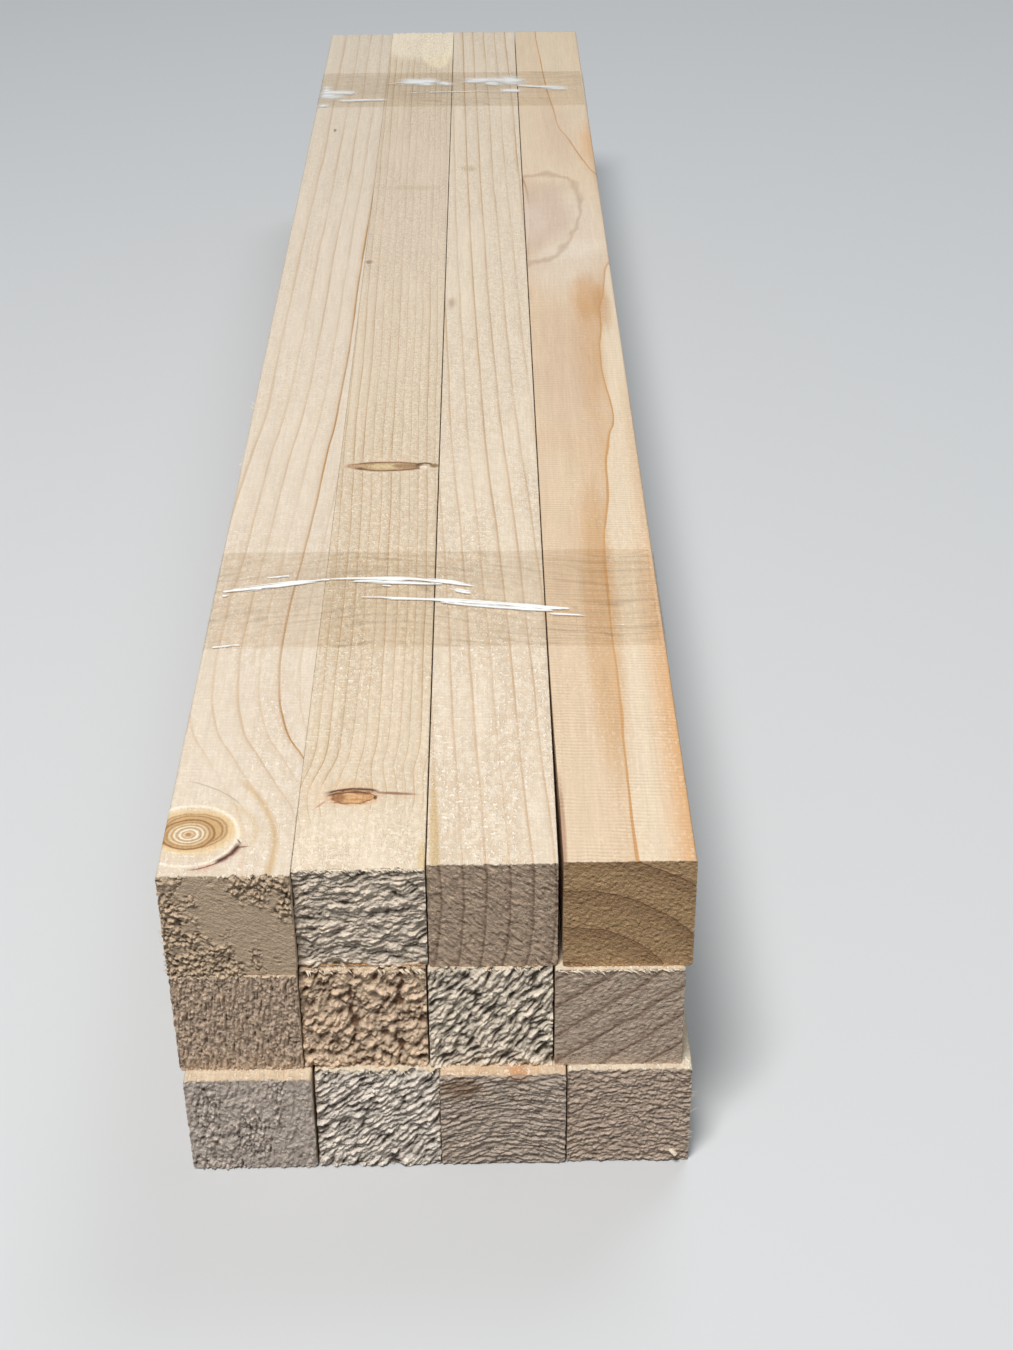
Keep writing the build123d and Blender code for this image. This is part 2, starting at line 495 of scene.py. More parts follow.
                seen(172, 138, 110), 0.42, line=0.08,
            ),
            Mark(Oval((14, 470, TOP), (12, 60, 60), waver=0.3), seen(214, 184, 160), 0.45, soft=0.9),
            Mark(Oval((26, 450, TOP), (7, 40, 60), waver=0.4), seen(222, 170, 118), 0.6, soft=0.9),
            Mark(Oval((0.2, 17, TOP), (0.9, 26, 20)), seen(150, 96, 68), 0.55, soft=0.6),
        ),
        slivers=(
            Slivers(22, (1, 5.4, 0.6), (22, 5.4, 0.4), (0.6, -0.5, -0.4), 1.0, 0.35, 0.5),
        ),
    ),
    "batten_middle_1": Batten(
        pith=(70, 10), spacing=2.3, first=0.0,
        end=End(
            tear=0.85, angle=90, length=3.2, width=0.55, streaks=1.0, flaps=0.35, lumps=0.1,
            grit=0.6, warp=0.25, hatch=1.8,
        ),
        early=STRAW, late=LINE_BROWN, end_tone=seen(240, 213, 187),
        slivers=(
            Slivers(10, (1, 3.2, 26.5), (26, 3.2, 26.6), (0.6, -0.6, 0.1), 1.0, 0.3, 1.0),
            Slivers(14, (1, 3.6, 0.4), (26, 3.6, 0.4), (0.5, -0.6, -0.2), 0.8, 0.3, 1.0),
        ),
    ),
    "batten_middle_2": Batten(
        pith=(-60, 14), spacing=5.2, first=0.4,
        end=End(
            tear=1.3, angle=65, length=1.7, width=1.1, streaks=0.75, flaps=0.3, lumps=0.9,
            grit=0.4, lines=0, splits=(11, 21.5), deep=seen(150, 96, 58),
        ),
        early=STRAW, late=LINE_BROWN, end_tone=seen(242, 214, 184),
        slivers=(
            Slivers(40, (1, 5.2, 26.3), (26, 5.2, 26.3), (0.5, -0.7, -0.3), 1.2, 0.5, 1.0),
        ),
    ),
    "batten_middle_3": Batten(
        pith=(30, -40), spacing=3.4, first=0.2,
        end=End(
            tear=1.35, angle=50, length=2.7, width=0.74, streaks=0.9, flaps=0.45, lumps=0.55,
            grit=0.2, lines=0, warp=0.7,
        ),
        early=CREAM, late=LINE_GREY, end_tone=seen(252, 238, 218),
        slivers=(
            Slivers(26, (1, 5.0, 26.4), (26, 5.0, 26.4), (0.5, -0.7, -0.3), 0.9, 0.35, 1.0),
            Slivers(26, (1, 4.1, 0.4), (26, 4.1, 0.3), (0.5, -0.7, -0.2), 1.0, 0.3, 1.0),
        ),
    ),
    "batten_middle_4": Batten(
        pith=(-300, 408), spacing=6.2, first=0.353,
        end=End(
            tear=0.34, angle=20, length=1.1, width=0.8, streaks=0.3, flaps=0.1, lumps=0.1,
            grit=1.2, rings=0.15, lines=0.75, hatch=2.2,
        ),
        early=CREAM, late=LINE_BROWN, end_tone=seen(226, 203, 181),
        slivers=(
            Slivers(44, (0.5, 4.1, 26.5), (26.8, 4.1, 26.6), (0.9, -0.4, 0.0), 1.5, 0.6, 1.0),
            Slivers(10, (8, 4.0, 0.3), (26, 3.9, 0.3), (0.6, -0.5, -0.1), 0.9, 0.3, 1.0),
        ),
    ),
    "batten_bottom_1": Batten(
        pith=(40, 20), spacing=2.9, first=0.3,
        end=End(
            tear=1.0, angle=86, length=2.6, width=0.6, streaks=0.8, flaps=0.4, lumps=0.3,
            grit=0.6, calm=0.5, warp=0.5, hatch=1.5,
            rough=((4.5, 14, 3, 13), (14, 10, 5.5, 9), (20, 22, 2, 6), (8, 1, 9, 3)),
        ),
        early=STRAW, late=ORANGE, end_tone=seen(244, 228, 214),
    ),
    "batten_bottom_2": Batten(
        pith=(-30, 60), spacing=3.0, first=0.1,
        end=End(
            tear=1.25, angle=40, length=2.5, width=0.62, streaks=0.9, flaps=0.45, lumps=0.45,
            grit=0.25, lines=0, warp=0.8,
        ),
        early=CREAM, late=LINE_GREY, end_tone=seen(252, 240, 226),
        slivers=(
            Slivers(22, (1, 2.4, 26.3), (26, 2.4, 26.3), (0.5, -0.7, -0.2), 0.9, 0.35, 1.0),
        ),
    ),
    "batten_bottom_3": Batten(
        pith=(14, -20), spacing=2.7, first=0.5,
        end=End(
            tear=0.7, angle=0, length=3.4, width=0.6, streaks=0.8, flaps=0.65, lumps=0.1,
            grit=0.5, follow=True, warp=0.4, hatch=1.4,
        ),
        early=PINKISH, late=ORANGE, end_tone=seen(227, 208, 190),
        marks=(
            Mark(Oval((17, 1, TOP), (3.5, 6, 3), waver=0.5), seen(214, 140, 76), 0.7, soft=0.8),
            Mark(
                Oval((4.5, 0, 23), (6.5, 9, 4.5), waver=0.5),
                seen(172, 134, 100), 0.7, soft=0.7, on_end=True,
            ),
            Mark(
                Oval((17, 0, 25.6), (3.5, 9, 1.8), waver=0.6),
                seen(196, 140, 88), 0.45, soft=0.8, on_end=True,
            ),
        ),
    ),
    "batten_bottom_4": Batten(
        pith=(8, -48), spacing=3.4, first=0.2,
        end=End(
            tear=0.7, angle=14, length=2.0, width=0.8, streaks=0.7, flaps=0.75, lumps=0.1,
            grit=0.7, follow=True, warp=0.5, hatch=1.4,
        ),
        early=CREAM, late=LINE_GREY, end_tone=seen(227, 204, 184),
        slivers=(
            Slivers(7, (27.0, 1.6, 13), (27.0, 2.2, 21), (1, 0.2, 0.8), 2.0, 0.16, 1.0),
            Slivers(5, (27.0, 1.3, 3), (27.0, 1.5, 9), (1, -0.2, -0.3), 1.2, 0.2, 1.0),
            Slivers(1, (23.2, 1.3, 3.0), (23.2, 1.3, 3.0), (0.5, -0.3, -0.4), 1.7, 2.2, 1.0, tip=0.6),
        ),
    ),
}


class Crease(NamedTuple):
    """A fold standing up in the film on top of the stack: its line across the bundle, width and height.

    A soft fold is a bulge with a soft painted glint on it. The others carry fine white strands, partly the
    whitening of stretched film and partly painted glints.
    """

    line: tuple
    width: float
    height: float
    soft: bool = False


# The folds of each band, which stand up in the mesh and carry its painted glints
CREASES = {
    "film_band_front": (
        Crease(((-54.5, -187.6), (-47, -186), (-36, -183.5), (-26.5, -182)), 1.0, 0.35),
        Crease(((-52, -186.3), (-43, -186.1)), 0.45, 0.2),
        Crease(((-54, -189.4), (-50.5, -189.3)), 0.6, 0.2),
        Crease(((-43.5, -180.8), (-36, -179.7)), 0.35, 0.15),
        Crease(((-28.5, -181.8), (-15, -181.6), (-6.6, -182), (3.4, -183.9), (9, -185.7)), 0.9, 0.4),
        Crease(((-22.5, -182.9), (-12, -183.5), (0, -184.7)), 0.6, 0.3),
        Crease(((-14.8, -185.1), (-11, -185.5)), 0.4, 0.15),
        Crease(((3.2, -187.1), (8.6, -189.3)), 0.75, 0.25),
        Crease(((-19.8, -190.6), (-1, -192), (13.4, -194.2), (27.7, -196.4), (33, -197.3)), 0.8, 0.4),
        Crease(((1.5, -193.5), (14, -195.9), (28.5, -198)), 0.65, 0.35),
        Crease(((27, -199.3), (36, -200.4)), 0.4, 0.15),
        Crease(((41.5, -204.3), (47.5, -205.4)), 0.3, 0.1),
        Crease(((-54.5, -213.2), (-47, -212.2)), 0.4, 0.1),
    ),
    "film_band_back": (
        Crease(((-53.6, 221.5), (-53.0, 217.5)), 1.7, 0.2, True),
        Crease(((-52.2, 210.4), (-50, 210)), 3.4, 0.3, True),
        Crease(((-53.5, 214.8), (-48, 214.9), (-43.5, 214.7)), 2.2, 0.25, True),
        Crease(((-54.4, 197.8), (-52.4, 198.2)), 1.6, 0.1, True),
        Crease(((-45, 204.2), (-38, 204.8), (-29, 205.2)), 1.1, 0.15, True),
        Crease(((-18.5, 229.2), (-15, 228.4), (-10.5, 229.2)), 3.6, 0.35, True),
        Crease(((-14, 226.4), (-11.5, 226)), 2.4, 0.2, True),
        Crease(((-5, 226.6), (-3.2, 225.6)), 1.9, 0.15, True),
        Crease(((7, 229.8), (15, 230.2), (23, 229.6)), 2.8, 0.3, True),
        Crease(((15, 225.8), (17, 225.2)), 2.0, 0.15, True),
        Crease(((23.2, 230), (24.2, 228.8)), 4.6, 0.4, True),
        Crease(((21.6, 216), (25.4, 215.7)), 1.8, 0.15, True),
        Crease(((38.4, 220.2), (41, 219.6), (44, 218.6)), 2.2, 0.25, True),
        Crease(((28, 222.6), (32, 221.6), (37, 220.4)), 1.0, 0.15, True),
        Crease(((-20, 214.2), (18, 216)), 0.35, 0.1),
        Crease(((-30, 226.4), (-20, 227.8)), 0.35, 0.1),
        Crease(((45, 223), (54, 213)), 0.3, 0.1),
    ),
}


class Place(NamedTuple):
    """Where a batten lies, in metres."""

    front_left: float
    back_left: float
    width: float
    floor: float
    height: float
    foot: float
    head: float
    back: float


def read_place(node):
    """A batten's place, read from its solid's own corners."""
    points = [vertex.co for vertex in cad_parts[node].data.vertices]
    low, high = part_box(node)
    middle = (low + high) / 2
    front = [p for p in points if p.y < middle.y]
    behind = [p for p in points if p.y > middle.y]
    front_left = min(p.x for p in front)
    return Place(
        front_left=front_left,
        back_left=min(p.x for p in behind),
        width=max(p.x for p in front) - front_left,
        floor=low.z,
        height=high.z - low.z,
        foot=min(p.y for p in front if p.z < middle.z),
        head=min(p.y for p in front if p.z > middle.z),
        back=high.y,
    )


class BattenSettings(bpy.types.PropertyGroup):
    """Sizes of the wood's shape."""

    arris: FloatProperty(
        name="Arris", description="Radius of the long edges",
        default=0.7 * MM, min=0.0, subtype="DISTANCE", unit="LENGTH",
    )
    sharp_arris: FloatProperty(
        name="Sharp Arris", description="Radius of the upper edges that the resaw left sharp",
        default=0.1 * MM, min=0.0, subtype="DISTANCE", unit="LENGTH",
    )
    tear: FloatProperty(
        name="Tear", description="Height of the torn fibres on the roughest ends",
        default=0.6 * MM, min=0.0, subtype="DISTANCE", unit="LENGTH",
    )
    fine: IntProperty(
        name="Torn End Grid", description="Cells along one side of a torn end", default=120, min=8,
    )
    coarse: IntProperty(
        name="Smooth End Grid", description="Cells along one side of a smooth end", default=96, min=8,
    )


class FilmSettings(bpy.types.PropertyGroup):
    """Sizes and colours of the film bands."""

    thickness: FloatProperty(
        name="Thickness", description="Thickness of the turns together",
        default=0.18 * MM, min=0.0, subtype="DISTANCE", unit="LENGTH",
    )
    wander: FloatProperty(
        name="Edge Wander", description="How far the band's edges wander along the battens",
        default=0.7 * MM, min=0.0, subtype="DISTANCE", unit="LENGTH",
    )
    columns: IntProperty(name="Columns", description="Cells round the band", default=232, min=40)
    rows: IntProperty(name="Rows", description="Cells across the band", default=112, min=10)
    tint: FloatVectorProperty(
        name="Tint", description="Light that one face of the film lets through",
        default=(0.996, 0.986, 0.972), size=3, min=0.0, max=1.0, subtype="COLOR",
    )


class StageSettings(bpy.types.PropertyGroup):
    """The camera, the lamps and the floor."""

    camera_place: FloatVectorProperty(
        name="Camera", description="Where the camera stands",
        default=(0.01314, -0.62392, 0.34023), size=3, subtype="TRANSLATION", unit="LENGTH",
    )
    pitch: FloatProperty(
        name="Pitch", description="How far the camera looks down",
        default=math.radians(33.142), subtype="ANGLE", unit="ROTATION",
    )
    yaw: FloatProperty(
        name="Yaw", description="How far the camera looks to the right",
        default=math.radians(0.4808), subtype="ANGLE", unit="ROTATION",
    )
    roll: FloatProperty(
        name="Roll", description="How far the camera leans",
        default=math.radians(-0.3562), subtype="ANGLE", unit="ROTATION",
    )
    lens: FloatProperty(name="Lens", description="Focal length in millimetres", default=54.44, min=1.0)
    key_power: FloatProperty(
        name="Key Lamp", description="Power of the lamp over the front ends",
        default=22.5, min=0.0, unit="POWER",
    )
    back_power: FloatProperty(
        name="Back Lamp", description="Power of the lamp over the back ends",
        default=12.0, min=0.0, unit="POWER",
    )
    room_light: FloatProperty(
        name="Room", description="Strength of the light from all round", default=0.16, min=0.0,
    )
    floor_colour: FloatVectorProperty(
        name="Floor", description="Colour of the floor",
        default=(0.66, 0.67, 0.68), size=3, min=0.0, max=1.0, subtype="COLOR",
    )
    bounce_colour: FloatVectorProperty(
        name="Bounce", description="Colour of the floor's light on the battens",
        default=(0.22, 0.22, 0.22), size=3, min=0.0, max=1.0, subtype="COLOR",
    )


class Sheet:
    """One node tree, with short ways to add its nodes and to wire them."""

    def __init__(self, tree):
        self.tree = tree

    def feed(self, socket, value):
        """Wires a socket, or sets it to a plain value."""
        if isinstance(value, bpy.types.NodeSocket):
            self.tree.links.new(value, socket)
        else:
            socket.default_value = value

    def add(self, kind, sockets=None, **settings):
        """A new node with its settings made and its inputs fed."""
        node = self.tree.nodes.new("ShaderNode" + kind)
        for name, value in settings.items():
            setattr(node, name, value)
        for key, value in (sockets or {}).items():
            self.feed(node.inputs[key], value)
        return node

    def attribute(self, name):
        """A value that the mesh's points carry."""
        return self.add("Attribute", attribute_name=name).outputs["Fac"]

    def math(self, operation, *values, clamp=False):
        """A sum on numbers."""
        node = self.add("Math", dict(enumerate(values)), operation=operation, use_clamp=clamp)
        return node.outputs[0]

    def sway(self, wave, amount, base):
        """The base, moved up and down by a noise about that noise's middle."""
        return self.math("MULTIPLY_ADD", self.math("SUBTRACT", wave, 0.5), amount, base)

    def vector(self, operation, *values):
        """A sum on places. Lengths and dot products come out as numbers."""
        node = self.add("VectorMath", dict(enumerate(values)), operation=operation)
        return node.outputs["Value" if operation in ("LENGTH", "DOT_PRODUCT") else "Vector"]

    def split(self, vector):
        """The three numbers of a place."""
        return self.add("SeparateXYZ", {0: vector}).outputs

    def join(self, x, y, z):
        """The place of three numbers."""
        return self.add("CombineXYZ", {0: x, 1: y, 2: z}).outputs[0]

    def shade(self, colour, factor):
        """The colour made lighter or darker by the factor."""
        node = self.add("VectorMath", {0: colour, "Scale": factor}, operation="SCALE")
        return node.outputs["Vector"]

    def pick(self, factor, low, high):
        """A number between two others, as near to the second as the factor says."""
        node = self.add("Mix", data_type="FLOAT")
        self.feed(node.inputs[0], factor)
        self.feed(node.inputs[2], low)
        self.feed(node.inputs[3], high)
        return node.outputs[0]

    def blend(self, factor, under, over):
        """One colour laid over another, as strongly as the factor says."""
        node = self.add("Mix", data_type="RGBA", clamp_factor=True)
        self.feed(node.inputs[0], factor)
        self.feed(node.inputs[6], under)
        self.feed(node.inputs[7], over)
        return node.outputs[2]

    def ramp(self, value, start, stop, low=0.0, high=1.0, smooth=True):
        """The value, from start to stop, turned into low to high and held there."""
        node = self.add(
            "MapRange",
            {"Value": value, "From Min": start, "From Max": stop, "To Min": low, "To Max": high},
            interpolation_type="SMOOTHSTEP" if smooth else "LINEAR",
        )
        return node.outputs["Result"]

    def noise(self, place, scale, detail=2.0, rough=0.5, seed=0.0, stretch=(1, 1, 1)):
        """Soft noise from 0 to 1 with features about 1/scale wide, drawn out along each way by stretch."""
        spread = tuple(scale / s for s in stretch)
        moved = self.vector("MULTIPLY_ADD", place, spread, (seed, seed * 1.7, -seed * 0.9))
        node = self.add("TexNoise", {"Vector": moved, "Scale": 1.0, "Detail": detail, "Roughness": rough})
        return node.outputs[0]

    def profile(self, value, points):
        """A smooth curve through points from 0 to 1, where both ends hold their last height."""
        node = self.add("FloatCurve", {"Value": value})
        line = node.mapping.curves[0]
        line.points[0].location = points[0]
        line.points[1].location = points[-1]
        for place, height in points[1:-1]:
            line.points.new(place, height)
        node.mapping.update()
        return node.outputs[0]

    def curve(self, along, points):
        """A smooth curve through points of any height, at places along a batten."""
        low = min(height for _, height in points)
        rise = max(max(height for _, height in points) - low, 1e-6)
        scaled = [(place / SPAN, (height - low) / rise) for place, height in points]
        share = self.profile(self.math("DIVIDE", along, SPAN), scaled)
        return self.math("MULTIPLY_ADD", share, rise, low)

    def group(self, tree, sockets):
        """The outputs of a node group with its inputs fed."""
        node = self.add("Group")
        node.node_tree = tree
        for key, value in sockets.items():
            self.feed(node.inputs[key], value)
        return node.outputs


def new_group(name, places, numbers, results):
    """The sheet, inputs and outputs of a new node group. It turns places and numbers into numbers."""
    tree = bpy.data.node_groups.new(name, "ShaderNodeTree")
    for side, kind, sockets in (
        ("INPUT", "NodeSocketVector", places),
        ("INPUT", "NodeSocketFloat", numbers),
        ("OUTPUT", "NodeSocketFloat", results),
    ):
        for socket in sockets:
            tree.interface.new_socket(socket, in_out=side, socket_type=kind)
    return Sheet(tree), tree.nodes.new("NodeGroupInput").outputs, tree.nodes.new("NodeGroupOutput").inputs


def growth_rings():
    """Year rings round a pith line. Late wood darkens slowly outwards and ends at a sharp line.

    Wide rings darken over most of their width. The rings' own darkness varies, but not that of Even.
    """
    sheet, given, result = new_group(
        "Growth Rings",
        ("Place", "Pith"),
        ("Spacing", "First", "Wander", "Uneven", "Wide", "Seed", "Strong Ring"),
        ("Late Wood", "Even"),
    )
    from_pith = sheet.split(sheet.vector("SUBTRACT", given["Place"], given["Pith"]))
    radius = sheet.vector("LENGTH", sheet.join(from_pith[0], 0.0, from_pith[2]))
    seeded = sheet.vector("ADD", given["Place"], sheet.join(given["Seed"], given["Seed"], 0.0))
    wave = sheet.noise(seeded, 0.11, detail=3.0, stretch=(1, 9, 1))
    moved = sheet.sway(wave, given["Wander"], radius)
    crowd = sheet.noise(sheet.join(radius, given["Seed"], 0.0), 0.16, detail=1.0)
    ring = sheet.math("ADD", sheet.math("DIVIDE", moved, given["Spacing"]), given["First"])
    ring = sheet.sway(crowd, given["Uneven"], ring)
    number = sheet.math("FLOOR", ring)
    part = sheet.math("FRACT", ring)
    dark = sheet.pick(given["Wide"], sheet.profile(part, NARROW_RING), sheet.profile(part, WIDE_RING))
    luck = sheet.add(
        "TexWhiteNoise", {"W": sheet.math("ADD", number, given["Seed"])}, noise_dimensions="1D"
    ).outputs["Value"]
    strength = sheet.ramp(luck, 0.0, 1.0, 0.3, 0.85, smooth=False)
    chosen = sheet.math("COMPARE", number, given["Strong Ring"], 0.4)
    strength = sheet.math("MAXIMUM", strength, sheet.math("MULTIPLY", chosen, 1.75))
    strength = sheet.math("MAXIMUM", strength, given["Wide"])
    faint = sheet.ramp(sheet.noise(seeded, 0.02, detail=2.0, stretch=(0.4, 1, 0.4)), 0.35, 0.6, 0.6, 1.0)
    strength = sheet.math("MULTIPLY", strength, faint)
    sheet.feed(result["Late Wood"], sheet.math("MULTIPLY", dark, strength))
    sheet.feed(result["Even"], dark)
    return sheet.tree


def sawn_face():
    """Fibres, fuzz and saw chatter of a long face.

    Gives a shade about 1, where pale tufts are and where painted shade lies in the dips between them,
    and a height in millimetres.
    """
    sheet, given, result = new_group(
        "Sawn Face", ("Place",), ("Fuzz", "Chatter", "Seed"), ("Shade", "Fleck", "Dip Shade", "Height")
    )
    place = sheet.vector("ADD", given["Place"], sheet.join(given["Seed"], given["Seed"], given["Seed"]))
    fibre = sheet.noise(place, 1.7, detail=4.0, rough=0.6, stretch=(1, 26, 1))
    streak = sheet.noise(place, 0.45, detail=3.0, rough=0.6, stretch=(1, 30, 1))
    cloud = sheet.noise(place, 0.07, detail=2.0, stretch=(1, 4, 1))
    fuzz = sheet.noise(place, 0.8, detail=3.0, rough=0.6, stretch=(1, 1.7, 1))
    specks = sheet.ramp(fuzz, 0.44, 0.6)
    tufts = sheet.noise(place, 1.35, detail=2.0, rough=0.6, stretch=(1, 1.5, 1), seed=7.0)
    flecks = sheet.ramp(tufts, 0.52, 0.62)
    woolly = sheet.math("MULTIPLY", sheet.ramp(cloud, 0.35, 0.6, 0.45, 1.0), given["Fuzz"])
    along = sheet.split(place)
    tilted = sheet.math("MULTIPLY_ADD", along[0], 0.05, along[1])
    wobble = sheet.noise(place, 0.2, detail=1.0)
    turn = sheet.math("MULTIPLY_ADD", tilted, math.tau / 1.2, sheet.math("MULTIPLY", wobble, 5.0))
    uneven = sheet.ramp(sheet.noise(place, 0.12, detail=2.0, seed=3.0), 0.3, 0.65, 0.2, 1.3)
    saw = sheet.math("MULTIPLY", sheet.math("SINE", turn), sheet.math("MULTIPLY", uneven, given["Chatter"]))
    shade = 1.0
    for pattern, contrast in ((fibre, 0.3), (streak, 0.16), (cloud, 0.12)):
        shade = sheet.sway(pattern, contrast, shade)
    shade = sheet.math("MULTIPLY_ADD", saw, 0.06, shade)
    fleck = sheet.math("MULTIPLY", flecks, woolly)
    height = sheet.math("MULTIPLY", fibre, 0.06)
    height = sheet.math("MULTIPLY_ADD", sheet.math("MULTIPLY", fuzz, woolly), 0.5, height)
    height = sheet.math("MULTIPLY_ADD", fleck, 0.16, height)
    height = sheet.math("MULTIPLY_ADD", saw, 0.03, height)
    sheet.feed(result["Shade"], shade)
    sheet.feed(result["Fleck"], fleck)
    # Dip Shade is painted shade in the dips between the tufts
    sheet.feed(result["Dip Shade"], sheet.math("MULTIPLY", sheet.math("SUBTRACT", 1.0, specks), woolly))
    sheet.feed(result["Height"], height)
    return sheet.tree


def end_face():
    """Fine strokes of an end across the grain: a shade about 1, and a height in millimetres.

    The shade holds painted shade in the hollows of the end and painted light on its crests.
    """
    sheet, given, result = new_group(
        "End Face", ("Place",), ("Angle", "Relief", "Hatch", "Seed"), ("Shade", "Height")
    )
    turned = sheet.add(
        "VectorRotate", {"Vector": given["Place"], "Angle": given["Angle"]}, rotation_type="Y_AXIS"
    ).outputs[0]
    place = sheet.vector("ADD", turned, sheet.join(given["Seed"], 0.0, given["Seed"]))
    strokes = sheet.noise(place, 2.0, detail=4.0, rough=0.65, stretch=(2.8, 1, 1))
    pores = sheet.noise(place, 3.2, detail=2.0, rough=0.6)
    stroke_shade = sheet.math("MULTIPLY", sheet.math("SUBTRACT", strokes, 0.5), given["Hatch"])
    shade = sheet.math("MULTIPLY_ADD", stroke_shade, 0.5, 1.0)
    shade = sheet.sway(pores, 0.5, shade)
    # Painted shade in the hollows of the end and painted light on its crests, after the height of its
    # relief
    depth = sheet.ramp(given["Relief"], -1.0, 1.0, 0.6, 1.28, smooth=False)
    sheet.feed(result["Shade"], sheet.math("MULTIPLY", shade, depth))
    height = sheet.math("MULTIPLY_ADD", strokes, 0.5, sheet.math("MULTIPLY", pores, 0.3))
    height = sheet.math("MULTIPLY", height, sheet.math("MULTIPLY_ADD", given["Hatch"], 0.25, 0.75))
    sheet.feed(result["Height"], height)
    return sheet.tree


def oval_reach():
    """How far out a place is in an oval: 0 in its middle and 1 on its rim, with a wavering outline."""
    sheet, given, result = new_group(
        "Oval Reach", ("Place", "Middle", "Radii"), ("Turn", "Waver", "Seed"), ("Reach",)
    )
    away = sheet.vector("SUBTRACT", given["Place"], given["Middle"])
    turned = sheet.add("VectorRotate", {"Vector": away, "Angle": given["Turn"]}, rotation_type="Z_AXIS")
    share = sheet.vector("DIVIDE", turned.outputs[0], given["Radii"])
    reach = sheet.vector("LENGTH", share)
    seeded = sheet.vector("ADD", share, sheet.join(given["Seed"], 0.0, 0.0))
    sheet.feed(result["Reach"], sheet.sway(sheet.noise(seeded, 1.6, detail=2.0), given["Waver"], reach))
    return sheet.tree


def new_material(name):
    """An empty material and its sheet."""
    material = bpy.data.materials.new(name)
    material.use_nodes = True
    material.node_tree.nodes.clear()
    return material, Sheet(material.node_tree)


def reach_of(sheet, oval, spot, seed, groups):
    """How far out of an oval each place is."""
    reach = sheet.group(
        groups["oval"],
        {
            "Place": spot, "Middle": oval.middle, "Radii": oval.radii,
            "Turn": math.radians(oval.turn), "Waver": oval.waver, "Seed": seed,
        },
    )
    return reach["Reach"]


def lay_mark(sheet, mark, colour, height, spot, seed, groups):
    """The colour and the height with a mark on them, and where it is finer than the wood's flecks."""
    reach = reach_of(sheet, mark.oval, spot, seed, groups)
    if mark.line:
        aside = sheet.math("ABSOLUTE", sheet.math("SUBTRACT", reach, 1.0))
        cover = sheet.ramp(aside, 0.0, mark.line, mark.strength, 0.0)
    else:
        cover = sheet.ramp(reach, 1 - mark.soft, 1.0, mark.strength, 0.0)
    if mark.window:
        inside = sheet.ramp(reach_of(sheet, mark.window, spot, seed + 3, groups), 0.6, 1.0, 1.0, 0.0)
        cover = sheet.math("MULTIPLY", cover, inside)
    if mark.sunk:
        height = sheet.math("MULTIPLY_ADD", cover, -mark.sunk, height)
    fine = cover if mark.line or min(mark.oval.radii) < FINE_MARK else 0.0
    return sheet.blend(cover, colour, mark.colour), height, fine


def lay_knot(sheet, knot, colour, height, spot, seed, groups):
    """The colour and the height with a knot's rings on them, and where the knot is."""
    reach = reach_of(sheet, knot.oval, spot, seed, groups)
    ramp = sheet.add("ValToRGB", {0: reach})
    stops = ramp.color_ramp.elements
    for place, _, _ in knot.tones[1:-1]:
        stops.new(place)
    for stop, (place, tone, strength) in zip(stops, knot.tones):
        stop.position = place
        stop.color = (*tone[:3], strength)
    cover = ramp.outputs["Alpha"]
    height = sheet.math("MULTIPLY_ADD", cover, KNOT_RISE, height)
    return sheet.blend(cover, colour, ramp.outputs["Color"]), height, cover


